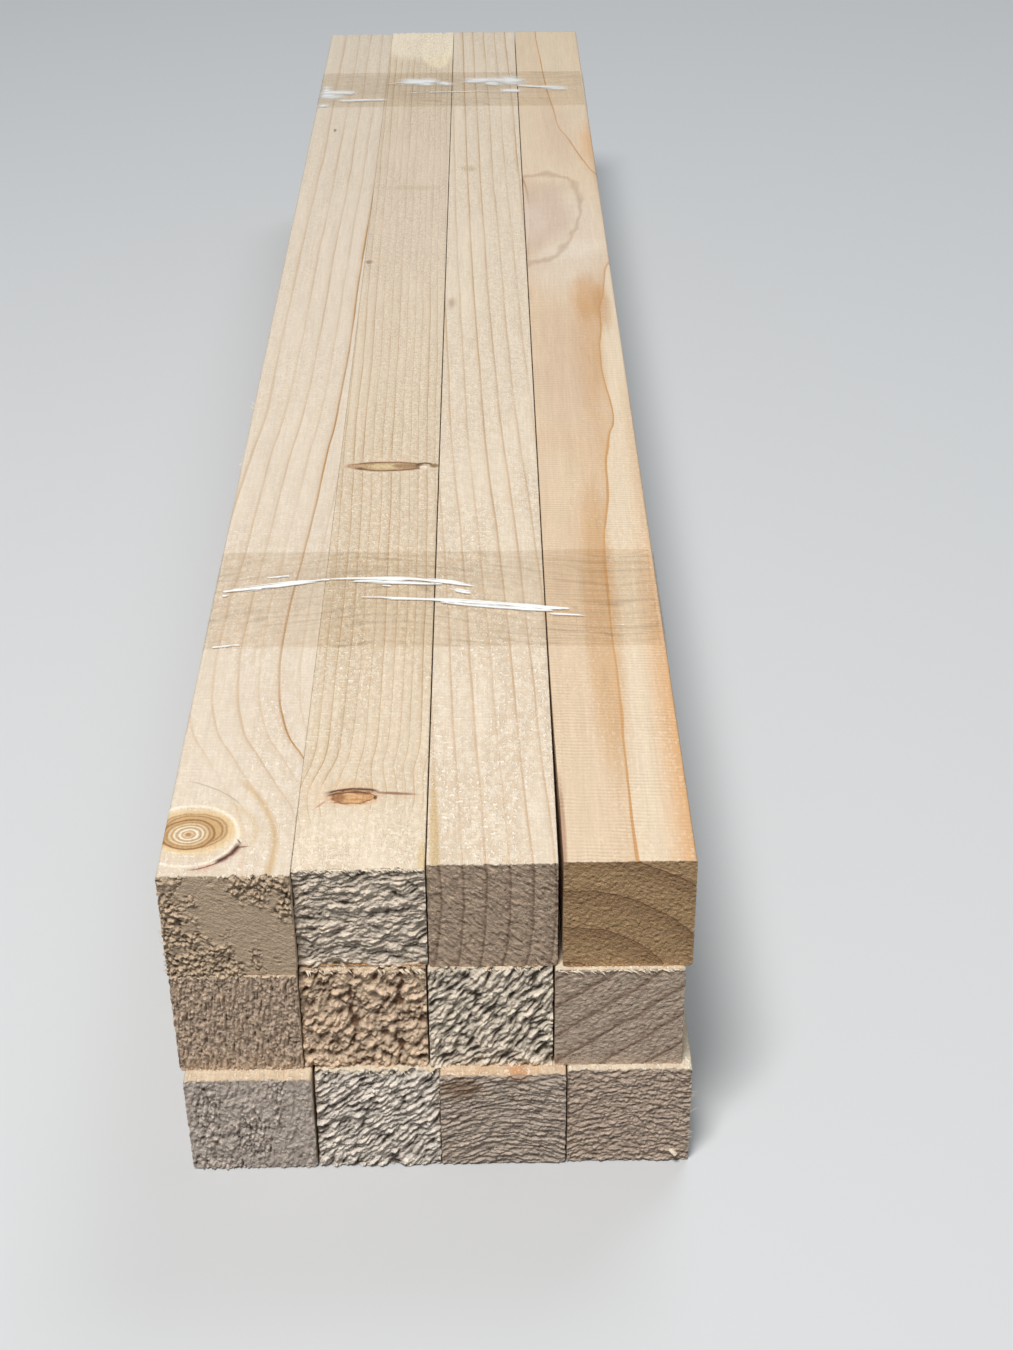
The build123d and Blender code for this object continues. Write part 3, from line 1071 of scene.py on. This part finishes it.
def batten_material(name, wood, place, seed, groups):
    """Softwood cut from round one pith, the same rings showing on the faces and on the ends."""
    material, sheet = new_material("softwood_" + name)
    spot = sheet.add(
        "Mapping",
        {
            "Vector": sheet.add("TexCoord").outputs["Object"],
            "Location": [-c / MM for c in (place.front_left, FRONT, place.floor)],
            "Scale": (1 / MM, 1 / MM, 1 / MM),
        },
    ).outputs[0]
    across, along, up = sheet.split(spot)
    drift = sheet.curve(along, wood.drift)
    moved = sheet.math("SUBTRACT", across, drift)
    if wood.parted:
        near = sheet.ramp(reach_of(sheet, wood.parted, spot, seed, groups), 0.2, 1.0, 0.35, 0.0)
        aside = sheet.math("SUBTRACT", across, wood.parted.middle[0])
        moved = sheet.math("SUBTRACT", moved, sheet.math("MULTIPLY", aside, near))
    drifted = sheet.join(moved, along, up)
    rings = sheet.group(
        groups["rings"],
        {
            "Place": drifted, "Pith": (wood.pith[0], 0, wood.pith[1]), "Spacing": wood.spacing,
            "First": wood.first, "Wander": RING_WANDER, "Uneven": wood.uneven, "Wide": wood.wide,
            "Seed": seed, "Strong Ring": wood.strong,
        },
    )
    face = sheet.group(
        groups["face"], {"Place": spot, "Fuzz": wood.fuzz, "Chatter": wood.chatter, "Seed": seed * 3.1}
    )
    relief = sheet.attribute("relief")
    end = sheet.group(
        groups["end"],
        {
            "Place": spot, "Angle": math.radians(wood.end.angle), "Relief": relief,
            "Hatch": wood.end.hatch, "Seed": seed * 5.3,
        },
    )
    late = rings["Late Wood"]
    if wood.fade:
        late = sheet.math("MULTIPLY", late, sheet.curve(along, wood.fade))
    colour = sheet.blend(sheet.math("MULTIPLY", late, wood.lines), wood.early, wood.late)
    height = face["Height"]
    dark_end = tuple(tone * share for tone, share in zip(wood.end_tone, RING_SHARES))
    end_colour = sheet.blend(sheet.math("MULTIPLY", rings["Even"], wood.end.lines), wood.end_tone, dark_end)
    # Painted shade: where the end sinks into cracks and hollows, its colour goes to the dark deep tone
    painted_hollow_shade = sheet.ramp(relief, -0.35, -1.1, 0.0, 0.75)
    end_colour = sheet.blend(painted_hollow_shade, end_colour, wood.end.deep)
    drawn = sheet.math("MULTIPLY", late, 0.8)
    for number, mark in enumerate(wood.marks):
        lay = lay_knot if isinstance(mark, Knot) else lay_mark
        here = seed + number * MARK_SEED_STEP
        if isinstance(mark, Mark) and mark.on_end:
            end_colour, _, _ = lay(sheet, mark, end_colour, height, spot, here, groups)
        else:
            colour, height, fine = lay(sheet, mark, colour, height, spot, here, groups)
            drawn = sheet.math("MAXIMUM", drawn, fine)
    bare = sheet.math("SUBTRACT", 1.0, drawn, clamp=True)
    bare = sheet.math("MULTIPLY", bare, sheet.curve(along, TUFTS))
    pale = (*(min(tone * lift, 0.95) for tone, lift in zip(wood.early, TUFT_LIFTS)), 1.0)
    # Painted shade: the dips between the tufts are darkened towards the grey of the year rings
    dip_shade = sheet.math("MULTIPLY", face["Dip Shade"], 0.4)
    colour = sheet.blend(sheet.math("MULTIPLY", dip_shade, bare), colour, LINE_GREY)
    colour = sheet.blend(sheet.math("MULTIPLY", face["Fleck"], bare), colour, pale)
    colour = sheet.shade(colour, face["Shade"])
    # The end's shade holds painted shade in its hollows and painted light on its crests
    end_colour = sheet.shade(end_colour, end["Shade"])
    cut = sheet.attribute("end_grain")
    colour = sheet.blend(cut, colour, end_colour)
    if wood.slivers:
        fibre = sheet.attribute("fibre")
        colour = sheet.blend(sheet.ramp(fibre, 0.0, 0.5), colour, TAN_FIBRE)
        colour = sheet.blend(sheet.ramp(fibre, 0.5, 1.0), colour, PALE_FIBRE)
    height = sheet.pick(cut, height, end["Height"])
    bump = sheet.add("Bump", {"Strength": 1.0, "Distance": MM, "Height": height})
    shader = sheet.add(
        "BsdfPrincipled",
        {
            "Base Color": colour, "Normal": bump.outputs[0],
            "Roughness": sheet.ramp(late, 0.0, 1.0, 0.78, 0.6, smooth=False),
            "Specular IOR Level": 0.3,
        },
    )
    sheet.add("OutputMaterial", {"Surface": shader.outputs[0]})
    return material


def film_material(tint):
    """Clear film: light goes through it and glances off it, with painted shadows of its fine wrinkles.

    Its standing creases are white, partly as stretched film and partly as painted glints, and its soft
    bulges carry painted glints.
    """
    material, sheet = new_material("clear_film")
    spot = sheet.vector("MULTIPLY", sheet.add("TexCoord").outputs["Object"], (1 / MM, 1 / MM, 1 / MM))
    crease_glint = sheet.attribute("crease_glint")
    x, y, _ = sheet.split(spot)
    bent = sheet.math("COSINE", sheet.math("MULTIPLY_ADD", x, 1 / 18, 15 / 18))
    bent = sheet.math("MULTIPLY_ADD", bent, -4.5, y)
    drift = sheet.noise(spot, 0.11, detail=2.0, stretch=(3.5, 1, 3.5))
    bent = sheet.math("MULTIPLY_ADD", drift, 11.0, bent)
    lines = 0.0
    # Painted shadows of the film's small wrinkles: fine dark lines in the light let through
    for number, (pitch, dark) in enumerate(WRINKLE_SHADOW_LINES):
        patches = sheet.noise(spot, 0.12, detail=2.0, seed=5.0 + number, stretch=(4, 1, 4))
        wave = sheet.math("SINE", sheet.math("MULTIPLY", bent, math.tau / pitch))
        line = sheet.math("MULTIPLY", sheet.ramp(wave, 0.55, 1.0), sheet.ramp(patches, 0.38, 0.6, 0.2, 1.0))
        lines = sheet.math("MULTIPLY_ADD", line, dark, lines)
    cloud = sheet.noise(spot, 0.06, detail=1.0, stretch=(3, 1, 3))
    gathered = sheet.math("MULTIPLY", sheet.attribute("turns"), sheet.ramp(cloud, 0.2, 0.8, -0.008, -0.003))
    # Light let through: less where more turns lie, and less along the painted wrinkle shadows
    through = sheet.math("SUBTRACT", sheet.math("ADD", gathered, 1.0), sheet.math("MULTIPLY", lines, 0.6))
    clear = sheet.add("BsdfTransparent", {"Color": sheet.shade(tint, through)})
    bump = sheet.add("Bump", {"Strength": 0.5, "Distance": MM, "Height": lines})
    # Painted glints: white strands along the creases, partly whitened stretched film, partly painted
    # highlight
    drawn_out = sheet.join(sheet.math("MULTIPLY", x, 0.035), sheet.attribute("aside"), 0.0)
    strands = sheet.noise(drawn_out, 1.5, detail=1.0)
    strand = sheet.sway(strands, 2.2, sheet.math("MULTIPLY", crease_glint, 0.8))
    glint_and_whitening = sheet.math("MULTIPLY", sheet.ramp(strand, 0.36, 0.5), sheet.ramp(crease_glint, 0.3, 0.45))
    ripple = sheet.noise(spot, 0.35, detail=2.0, stretch=(3, 1, 3), seed=2.0)
    # Painted glints on the soft bulges
    painted_glint = sheet.math("MULTIPLY", sheet.attribute("painted_glint"), sheet.ramp(ripple, 0.25, 0.6, 0.6, 1.15))
    glint_and_whitening = sheet.math("MAXIMUM", glint_and_whitening, sheet.ramp(painted_glint, 0.04, 1.0, smooth=False))
    # Glossy film that turns to a white diffuse surface where the painted glints are
    gloss = sheet.add(
        "BsdfPrincipled",
        {
            "Base Color": (1.0, 0.995, 0.97, 1.0), "Roughness": sheet.ramp(glint_and_whitening, 0.0, 0.5, 0.12, 0.35),
            "Metallic": sheet.ramp(glint_and_whitening, 0.0, 0.06, 1.0, 0.0), "Normal": bump.outputs[0],
        },
    )
    outside = sheet.math("SUBTRACT", 1.0, sheet.add("NewGeometry").outputs["Backfacing"])
    glance = sheet.add("Fresnel", {"IOR": 1.45, "Normal": bump.outputs[0]}).outputs[0]
    share = sheet.math("MULTIPLY", sheet.math("MULTIPLY", glance, 0.2), outside)
    share = sheet.math("MAXIMUM", share, sheet.math("MULTIPLY", glint_and_whitening, 0.95))
    mixed = sheet.add("MixShader", {0: share, 1: clear.outputs[0], 2: gloss.outputs[0]})
    sheet.add("OutputMaterial", {"Surface": mixed.outputs[0]})
    return material


def between(value, points):
    """The height at a value on straight lines from point to point."""
    for (start, low), (stop, high) in zip(points, points[1:]):
        if value <= stop:
            return low + (high - low) * max(value - start, 0.0) / (stop - start)
    return points[-1][1]


def batten_block(size, cells, stations):
    """A plain closed block as a grid at both ends, cut across at stations. It stands at its own corner."""
    width, length, height = size
    bm = bmesh.new()
    bmesh.ops.create_grid(bm, x_segments=cells, y_segments=cells, size=0.5)
    bmesh.ops.translate(bm, vec=(0.5, 0.5, 0), verts=bm.verts)
    bmesh.ops.rotate(bm, matrix=Matrix.Rotation(math.radians(90), 3, "X"), verts=bm.verts)
    bmesh.ops.scale(bm, vec=(width, 1, height), verts=bm.verts)
    drawn = bmesh.ops.extrude_face_region(bm, geom=bm.faces[:])
    moved = [part for part in drawn["geom"] if isinstance(part, bmesh.types.BMVert)]
    bmesh.ops.translate(bm, vec=(0, length, 0), verts=moved)
    bm.normal_update()
    near = [d * MM for d in STATIONS]
    for distance in near + [length - d for d in near] + [d * MM for d in stations]:
        sides = [f for f in bm.faces if abs(f.normal.y) < 0.5]
        edges = {e for f in sides for e in f.edges}
        verts = {v for f in sides for v in f.verts}
        bmesh.ops.bisect_plane(
            bm, geom=[*verts, *edges, *sides], plane_co=(0, distance, 0), plane_no=(0, 1, 0)
        )
    bmesh.ops.recalc_face_normals(bm, faces=bm.faces)
    return bm


def round_arrises(point, size, radius):
    """Draws the four long edges in to a round: squares about an edge become circles."""
    middle = (size[0] / 2, size[2] / 2)
    away = [point.x - middle[0], point.z - middle[1]]
    inner = [middle[0] - radius, middle[1] - radius]
    past = [abs(a) - i for a, i in zip(away, inner)]
    if min(past) <= 0:
        return
    reach = max(past) / math.hypot(*past)
    point.x = middle[0] + math.copysign(inner[0] + past[0] * reach, away[0])
    point.z = middle[1] + math.copysign(inner[1] + past[1] * reach, away[1])


def end_relief(x, z, wood, seed):
    """How high a sawn end stands at a place given in millimetres, as a share of its tear."""
    end = wood.end
    from_pith = (x - wood.drift[0][1] - wood.pith[0], z - wood.pith[1])
    radius = math.hypot(*from_pith)
    if end.follow:
        along, across = radius * math.atan2(from_pith[1], from_pith[0]), radius
    else:
        turn = math.radians(end.angle)
        along = x * math.cos(turn) + z * math.sin(turn)
        across = z * math.cos(turn) - x * math.sin(turn)
    across += noise.noise((x * 0.2, z * 0.2, seed)) * 1.6 * end.warp
    along += noise.noise((x * 0.3, z * 0.3, seed + 1)) * 1.5 * end.warp
    spot = Vector((along / end.length, across / end.width, seed * 2.3))
    streak = noise.fractal(spot, 0.75, 2.1, 3)
    step = spot.y * 0.55 + 1.1 * noise.noise((spot.x * 0.7, spot.y * 0.3, seed + 5))
    part = step - math.floor(step)
    lifted = min(max(0.5 + 2.2 * noise.noise((spot.x * 0.6, spot.y * 0.6, seed + 13)), 0.0), 1.0)
    flap = (part / 0.2 if part < 0.2 else (1 - part) / 0.8) * lifted - 0.3
    lump = noise.noise((x * 0.42, z * 0.42, seed + 7)) * 1.3
    grit = noise.fractal((x * 1.5, z * 1.5, seed + 9), 0.8, 2.1, 2)
    height = end.streaks * streak * 1.3 + end.flaps * flap + end.lumps * lump + end.grit * grit
    if end.rough:
        reach = min(math.hypot((x - u) / a, (z - w) / b) for u, w, a, b in end.rough)
        reach += noise.noise((x * 0.35, z * 0.35, seed + 3)) * 0.7 + noise.noise((x, z, seed)) * 0.3
        height *= end.calm + (1 - end.calm) * min(max(2.2 - 2 * reach, 0.0), 1.0)
    for split in end.splits:
        away = x - split - 1.2 * noise.noise((z * 0.25, split, seed))
        height -= 1.1 * math.exp(-((away / 0.55) ** 2)) * (0.7 + noise.noise((z * 0.2, split, seed + 2)))
    if end.rings:
        part = (radius / wood.spacing + wood.first) % 1
        height += end.rings * (0.25 if part < 0.86 else -0.75)
    return max(-TEAR_LIMIT, min(TEAR_LIMIT, height))


def add_slivers(bm, slivers, place, luck, layer):
    """Small pointed fibres, each a closed cone with its root in the wood."""
    corner = Vector((place.front_left, FRONT, place.floor))
    for _ in range(slivers.count):
        root = Vector(slivers.start).lerp(Vector(slivers.stop), luck.random())
        way = Vector(slivers.way).normalized() + Vector([luck.uniform(-0.45, 0.45) for _ in range(3)])
        length = slivers.length * luck.uniform(0.5, 1.4) * MM
        thick = slivers.width * luck.uniform(0.6, 1.3) / 2 * MM
        made = bmesh.ops.create_cone(
            bm, cap_ends=True, segments=5, radius1=thick, radius2=thick * slivers.tip, depth=length
        )["verts"]
        bmesh.ops.scale(bm, vec=(1, 0.6, 1), verts=made)
        turn = way.to_track_quat("Z", "Y").to_matrix().to_4x4()
        spot = Matrix.Translation(corner + root * MM) @ turn @ Matrix.Translation((0, 0, length * 0.3))
        bmesh.ops.transform(bm, matrix=spot, verts=made)
        for vertex in made:
            vertex[layer] = slivers.fibre


def make_batten(node, wood, settings, seed):
    """One batten with rounded arrises and sawn ends, lying where its solid lies."""
    place = read_place(node)
    size = (place.width, place.back - (place.foot + place.head) / 2, place.height)
    rough = wood.end.tear > TORN
    bm = batten_block(size, settings.fine if rough else settings.coarse, [v for v, _ in wood.bow[1:-1]])
    end_grain = bm.verts.layers.float.new("end_grain")
    relief = bm.verts.layers.float.new("relief")
    for face in bm.faces:
        face.smooth = True
    for edge in bm.edges:
        turned = [abs(f.normal.y) > 0.5 for f in edge.link_faces]
        edge.smooth = turned[0] == turned[1]
    depth = settings.tear
    for vertex in bm.verts:
        point = vertex.co
        from_end = min(point.y, size[1] - point.y)
        front = point.y < size[1] / 2
        side = math.copysign(1, point.x - size[0] / 2)
        sharp = point.z > size[2] / 2 and side in wood.sharp
        round_arrises(point, size, settings.sharp_arris if sharp else settings.arris)
        if from_end < TEAR_REACH * MM:
            here = seed if front else seed + BACK_SEED
            x, z = point.x / MM, point.z / MM
            height = end_relief(x, z, wood, here) * wood.end.tear
            fade = 1 - from_end / (TEAR_REACH * MM)
            rim = min(x, size[0] / MM - x, z, size[2] / MM - z)
            if rim < RIM:
                ragged = noise.fractal((x * 0.7, z * 0.7, here + 11), 0.8, 2.0, 3)
                pull = max(0.0, ragged) * 0.5 * wood.end.tear * fade * MM
                middle = Vector((size[0] / 2, point.y, size[2] / 2))
                point += (middle - point).normalized() * pull
            out = height * depth * fade
            point.y += -out if front else out
            if from_end < 1e-6:
                vertex[end_grain] = 1.0
                vertex[relief] = height
        share = point.y / size[1]
        if wood.bow:
            point.x -= between(point.y / MM, wood.bow) * (1 - point.x / size[0]) * MM
        left = place.front_left + share * (place.back_left - place.front_left)
        lean = place.foot + (place.head - place.foot) * point.z / size[2]
        vertex.co = (left + point.x, lean + share * (place.back - lean), place.floor + point.z)
    fibre = bm.verts.layers.float.new("fibre")
    luck = random.Random(seed)
    for slivers in wood.slivers:
        add_slivers(bm, slivers, place, luck, fibre)
    mesh = bpy.data.meshes.new(node + "_wood")
    bm.to_mesh(mesh)
    bm.free()
    return mesh, place


def near_line(x, y, line):
    """How far a place is from a line of points, the share of the line passed there, and how far aside."""
    best = (1e9, 0.0, 0.0)
    for number, (start, stop) in enumerate(zip(line, line[1:])):
        dx, dy = stop[0] - start[0], stop[1] - start[1]
        share = ((x - start[0]) * dx + (y - start[1]) * dy) / (dx * dx + dy * dy)
        share = min(max(share, 0.0), 1.0)
        distance = math.hypot(x - start[0] - share * dx, y - start[1] - share * dy)
        aside = ((y - start[1]) * dx - (x - start[0]) * dy) / math.hypot(dx, dy)
        best = min(best, (distance, (number + share) / (len(line) - 1), aside))
    return best


def make_film(node, settings, number):
    """One band: a sleeve laid on its solid's outside, with soft waves, standing creases and a wall.

    Its points carry the masks of the painted glints on its creases and bulges.
    """
    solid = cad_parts[node].data
    shape = BVHTree.FromPolygons([v.co for v in solid.vertices], [p.vertices for p in solid.polygons])
    low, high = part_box(node)
    middle = (low + high) / 2
    bm = bmesh.new()
    bmesh.ops.create_circle(bm, cap_ends=False, segments=settings.columns, radius=1.0)
    bmesh.ops.rotate(bm, matrix=Matrix.Rotation(math.radians(90), 3, "X"), verts=bm.verts)
    half = ((high.x - low.x) / 2, (high.z - low.z) / 2)
    for vertex in bm.verts:
        angle = math.atan2(vertex.co.z, vertex.co.x)
        out = Vector((math.cos(angle) * half[0], 0, math.sin(angle) * half[1]))
        far = middle + out * 3
        hit = shape.ray_cast(far, (middle - far).normalized())[0]
        vertex.co = Vector((hit.x, low.y, hit.z))
    drawn = bmesh.ops.extrude_edge_only(bm, edges=bm.edges[:])
    moved = [part for part in drawn["geom"] if isinstance(part, bmesh.types.BMVert)]
    bmesh.ops.translate(bm, vec=(0, high.y - low.y, 0), verts=moved)
    long_edges = [e for e in bm.edges if abs(e.verts[0].co.y - e.verts[1].co.y) > 1 * MM]
    bmesh.ops.subdivide_edges(bm, edges=long_edges, cuts=settings.rows - 1, use_grid_fill=True)
    bmesh.ops.recalc_face_normals(bm, faces=bm.faces)
    bm.normal_update()
    layers = {name: bm.verts.layers.float.new(name) for name in ("crease_glint", "aside", "turns", "painted_glint")}
    for vertex in bm.verts:
        point = vertex.co
        x, y, z = point.x / MM, point.y / MM, point.z / MM
        rise = noise.noise((x * 0.03, y * 0.25, z * 0.03 + number * 9)) * WAVE_HEIGHT
        crease_glint, side, painted_glint = -1.0, 0.0, 0.0
        if point.z > high.z - 2 * MM:
            for fold in CREASES[node]:
                distance, share, aside = near_line(x, y, fold.line)
                width = fold.width * math.sin(math.pi * min(max(share, 0.02), 0.98)) ** 0.5
                reach = 2.0 * fold.width if fold.soft else 0.9 * width
                rise += fold.height * FOLD_SHARE * math.exp(-((distance / reach) ** 2))
                # A soft fold gets a painted glint, the others the mask of their white strands
                if fold.soft:
                    painted_glint = max(painted_glint, math.exp(-((distance / fold.width) ** 2)))
                elif 1 - distance / (2 * width) > crease_glint:
                    crease_glint, side = 1 - distance / (2 * width), aside
        wander = noise.noise((x * 0.04, z * 0.04, number * 5 + (0 if point.y < middle.y else 3)))
        across = (point.y - low.y) / MM
        second = across > SECOND_TURN_FROM + 2 * wander
        third = across <= THIRD_TURN_TO + wander + 0.02 * x
        turns = 1.0 + second + third
        for name, value in (("crease_glint", crease_glint), ("aside", side), ("turns", turns), ("painted_glint", painted_glint)):
            vertex[layers[name]] = value
        point += vertex.normal * (rise + TURN_STEP * turns) * MM
        to_edge = min(across, (high.y - low.y) / MM - across)
        point.y += wander * settings.wander * max(0.0, 1 - to_edge / EDGE_ZONE)
    for face in bm.faces:
        face.smooth = True
    bmesh.ops.solidify(bm, geom=bm.faces[:], thickness=settings.thickness)
    mesh = bpy.data.meshes.new(node + "_film")
    bm.to_mesh(mesh)
    bm.free()
    return mesh


def add_piece(name, mesh, material, node):
    """Puts a finished mesh in the scene in the place of its node."""
    mesh.materials.append(material)
    piece = bpy.data.objects.new(name, mesh)
    bpy.context.scene.collection.objects.link(piece)
    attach(piece, BODY)
    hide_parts(node)


def add_lamp(name, place, aim, size, power, colour):
    """A square soft lamp that looks at a point."""
    light = bpy.data.lights.new(name, "AREA")
    light.size = size
    light.energy = power
    light.color = colour
    lamp = bpy.data.objects.new(name, light)
    lamp.location = place
    lamp.rotation_euler = (Vector(aim) - Vector(place)).to_track_quat("-Z", "Y").to_euler()
    bpy.context.scene.collection.objects.link(lamp)


def floor_material(colour, bounce):
    """A pale floor that throws little of its light back at the object."""
    material, sheet = new_material("pale_floor")
    rays = sheet.add("LightPath").outputs
    looked_at = sheet.math("ADD", rays["Is Camera Ray"], rays["Is Glossy Ray"])
    looked_at = sheet.math("ADD", looked_at, rays["Is Transmission Ray"], clamp=True)
    dim = sheet.add("BsdfDiffuse", {"Color": (*bounce, 1.0)})
    pale = sheet.add("BsdfDiffuse", {"Color": (*colour, 1.0)})
    mixed = sheet.add("MixShader", {0: looked_at, 1: dim.outputs[0], 2: pale.outputs[0]})
    sheet.add("OutputMaterial", {"Surface": mixed.outputs[0]})
    return material


class BUNDLE_OT_battens(bpy.types.Operator):
    """Saw the twelve battens"""

    bl_idname = "bundle.add_battens"
    bl_label = "Battens"

    def execute(self, context):
        settings = context.scene.batten_settings
        groups = {
            "rings": growth_rings(), "face": sawn_face(), "end": end_face(), "oval": oval_reach(),
        }
        for number, (node, wood) in enumerate(BATTENS.items()):
            seed = FIRST_SEED + number * SEED_STEP
            mesh, place = make_batten(node, wood, settings, seed)
            material = batten_material(node, wood, place, seed, groups)
            add_piece(node + "_sawn", mesh, material, node)
        return {"FINISHED"}


class BUNDLE_OT_film_bands(bpy.types.Operator):
    """Wrap the two film bands"""

    bl_idname = "bundle.add_film_bands"
    bl_label = "Film Bands"

    def execute(self, context):
        settings = context.scene.film_settings
        material = film_material(tuple(settings.tint))
        for number, node in enumerate(("film_band_front", "film_band_back")):
            mesh = make_film(node, settings, number)
            add_piece(node + "_wound", mesh, material, node)
        return {"FINISHED"}


class BUNDLE_OT_stage(bpy.types.Operator):
    """Set up the floor, the lamps and the camera"""

    bl_idname = "bundle.add_stage"
    bl_label = "Stage"

    def execute(self, context):
        settings = context.scene.stage_settings
        scene = context.scene
        bm = bmesh.new()
        bmesh.ops.create_grid(bm, x_segments=1, y_segments=1, size=6.0)
        mesh = bpy.data.meshes.new("floor")
        bm.to_mesh(mesh)
        bm.free()
        mesh.materials.append(floor_material(settings.floor_colour, settings.bounce_colour))
        floor = bpy.data.objects.new("floor", mesh)
        scene.collection.objects.link(floor)

        world = bpy.data.worlds.new("soft_room")
        world.use_nodes = True
        backdrop = world.node_tree.nodes["Background"]
        backdrop.inputs["Color"].default_value = (1.0, 1.0, 1.0, 1.0)
        backdrop.inputs["Strength"].default_value = settings.room_light
        scene.world = world

        warm, cool = (1.0, 0.99, 0.975), (0.84, 0.93, 1.0)
        add_lamp("key_lamp", (-0.25, -0.80, 1.50), (0, -0.12, 0.05), 0.42, settings.key_power, warm)
        add_lamp("back_lamp", (0.5, 1.0, 1.9), (0, 0.15, 0.04), 0.9, settings.back_power, cool)

        lens = bpy.data.cameras.new("camera")
        lens.lens = settings.lens
        lens.clip_start = 0.01
        camera = bpy.data.objects.new("camera", lens)
        camera.matrix_world = (
            Matrix.Translation(settings.camera_place)
            @ Matrix.Rotation(-settings.yaw, 4, "Z")
            @ Matrix.Rotation(math.radians(90) - settings.pitch, 4, "X")
            @ Matrix.Rotation(settings.roll, 4, "Z")
        )
        scene.collection.objects.link(camera)
        scene.camera = camera
        scene.view_settings.view_transform = "Standard"
        return {"FINISHED"}


class BUNDLE_PT_panel(bpy.types.Panel):
    """Lists the bundle's pieces and their sizes"""

    bl_idname = "BUNDLE_PT_panel"
    bl_label = "Batten Bundle"
    bl_space_type = "VIEW_3D"
    bl_region_type = "UI"
    bl_category = "Battens"

    def draw(self, context):
        layout = self.layout
        for settings, operator in (
            (context.scene.batten_settings, BUNDLE_OT_battens),
            (context.scene.film_settings, BUNDLE_OT_film_bands),
            (context.scene.stage_settings, BUNDLE_OT_stage),
        ):
            box = layout.box()
            for name in settings.__annotations__:
                box.prop(settings, name)
            box.operator(operator.bl_idname)


CLASSES = (
    BattenSettings, FilmSettings, StageSettings,
    BUNDLE_OT_battens, BUNDLE_OT_film_bands, BUNDLE_OT_stage, BUNDLE_PT_panel,
)


def register():
    for cls in CLASSES:
        bpy.utils.register_class(cls)
    bpy.types.Scene.batten_settings = PointerProperty(type=BattenSettings)
    bpy.types.Scene.film_settings = PointerProperty(type=FilmSettings)
    bpy.types.Scene.stage_settings = PointerProperty(type=StageSettings)


def unregister():
    del bpy.types.Scene.stage_settings
    del bpy.types.Scene.film_settings
    del bpy.types.Scene.batten_settings
    for cls in reversed(CLASSES):
        bpy.utils.unregister_class(cls)


def main():
    """Makes every piece."""
    register()
    bpy.ops.bundle.add_battens()
    bpy.ops.bundle.add_film_bands()
    bpy.ops.bundle.add_stage()


if __name__ == "__main__":
    main()
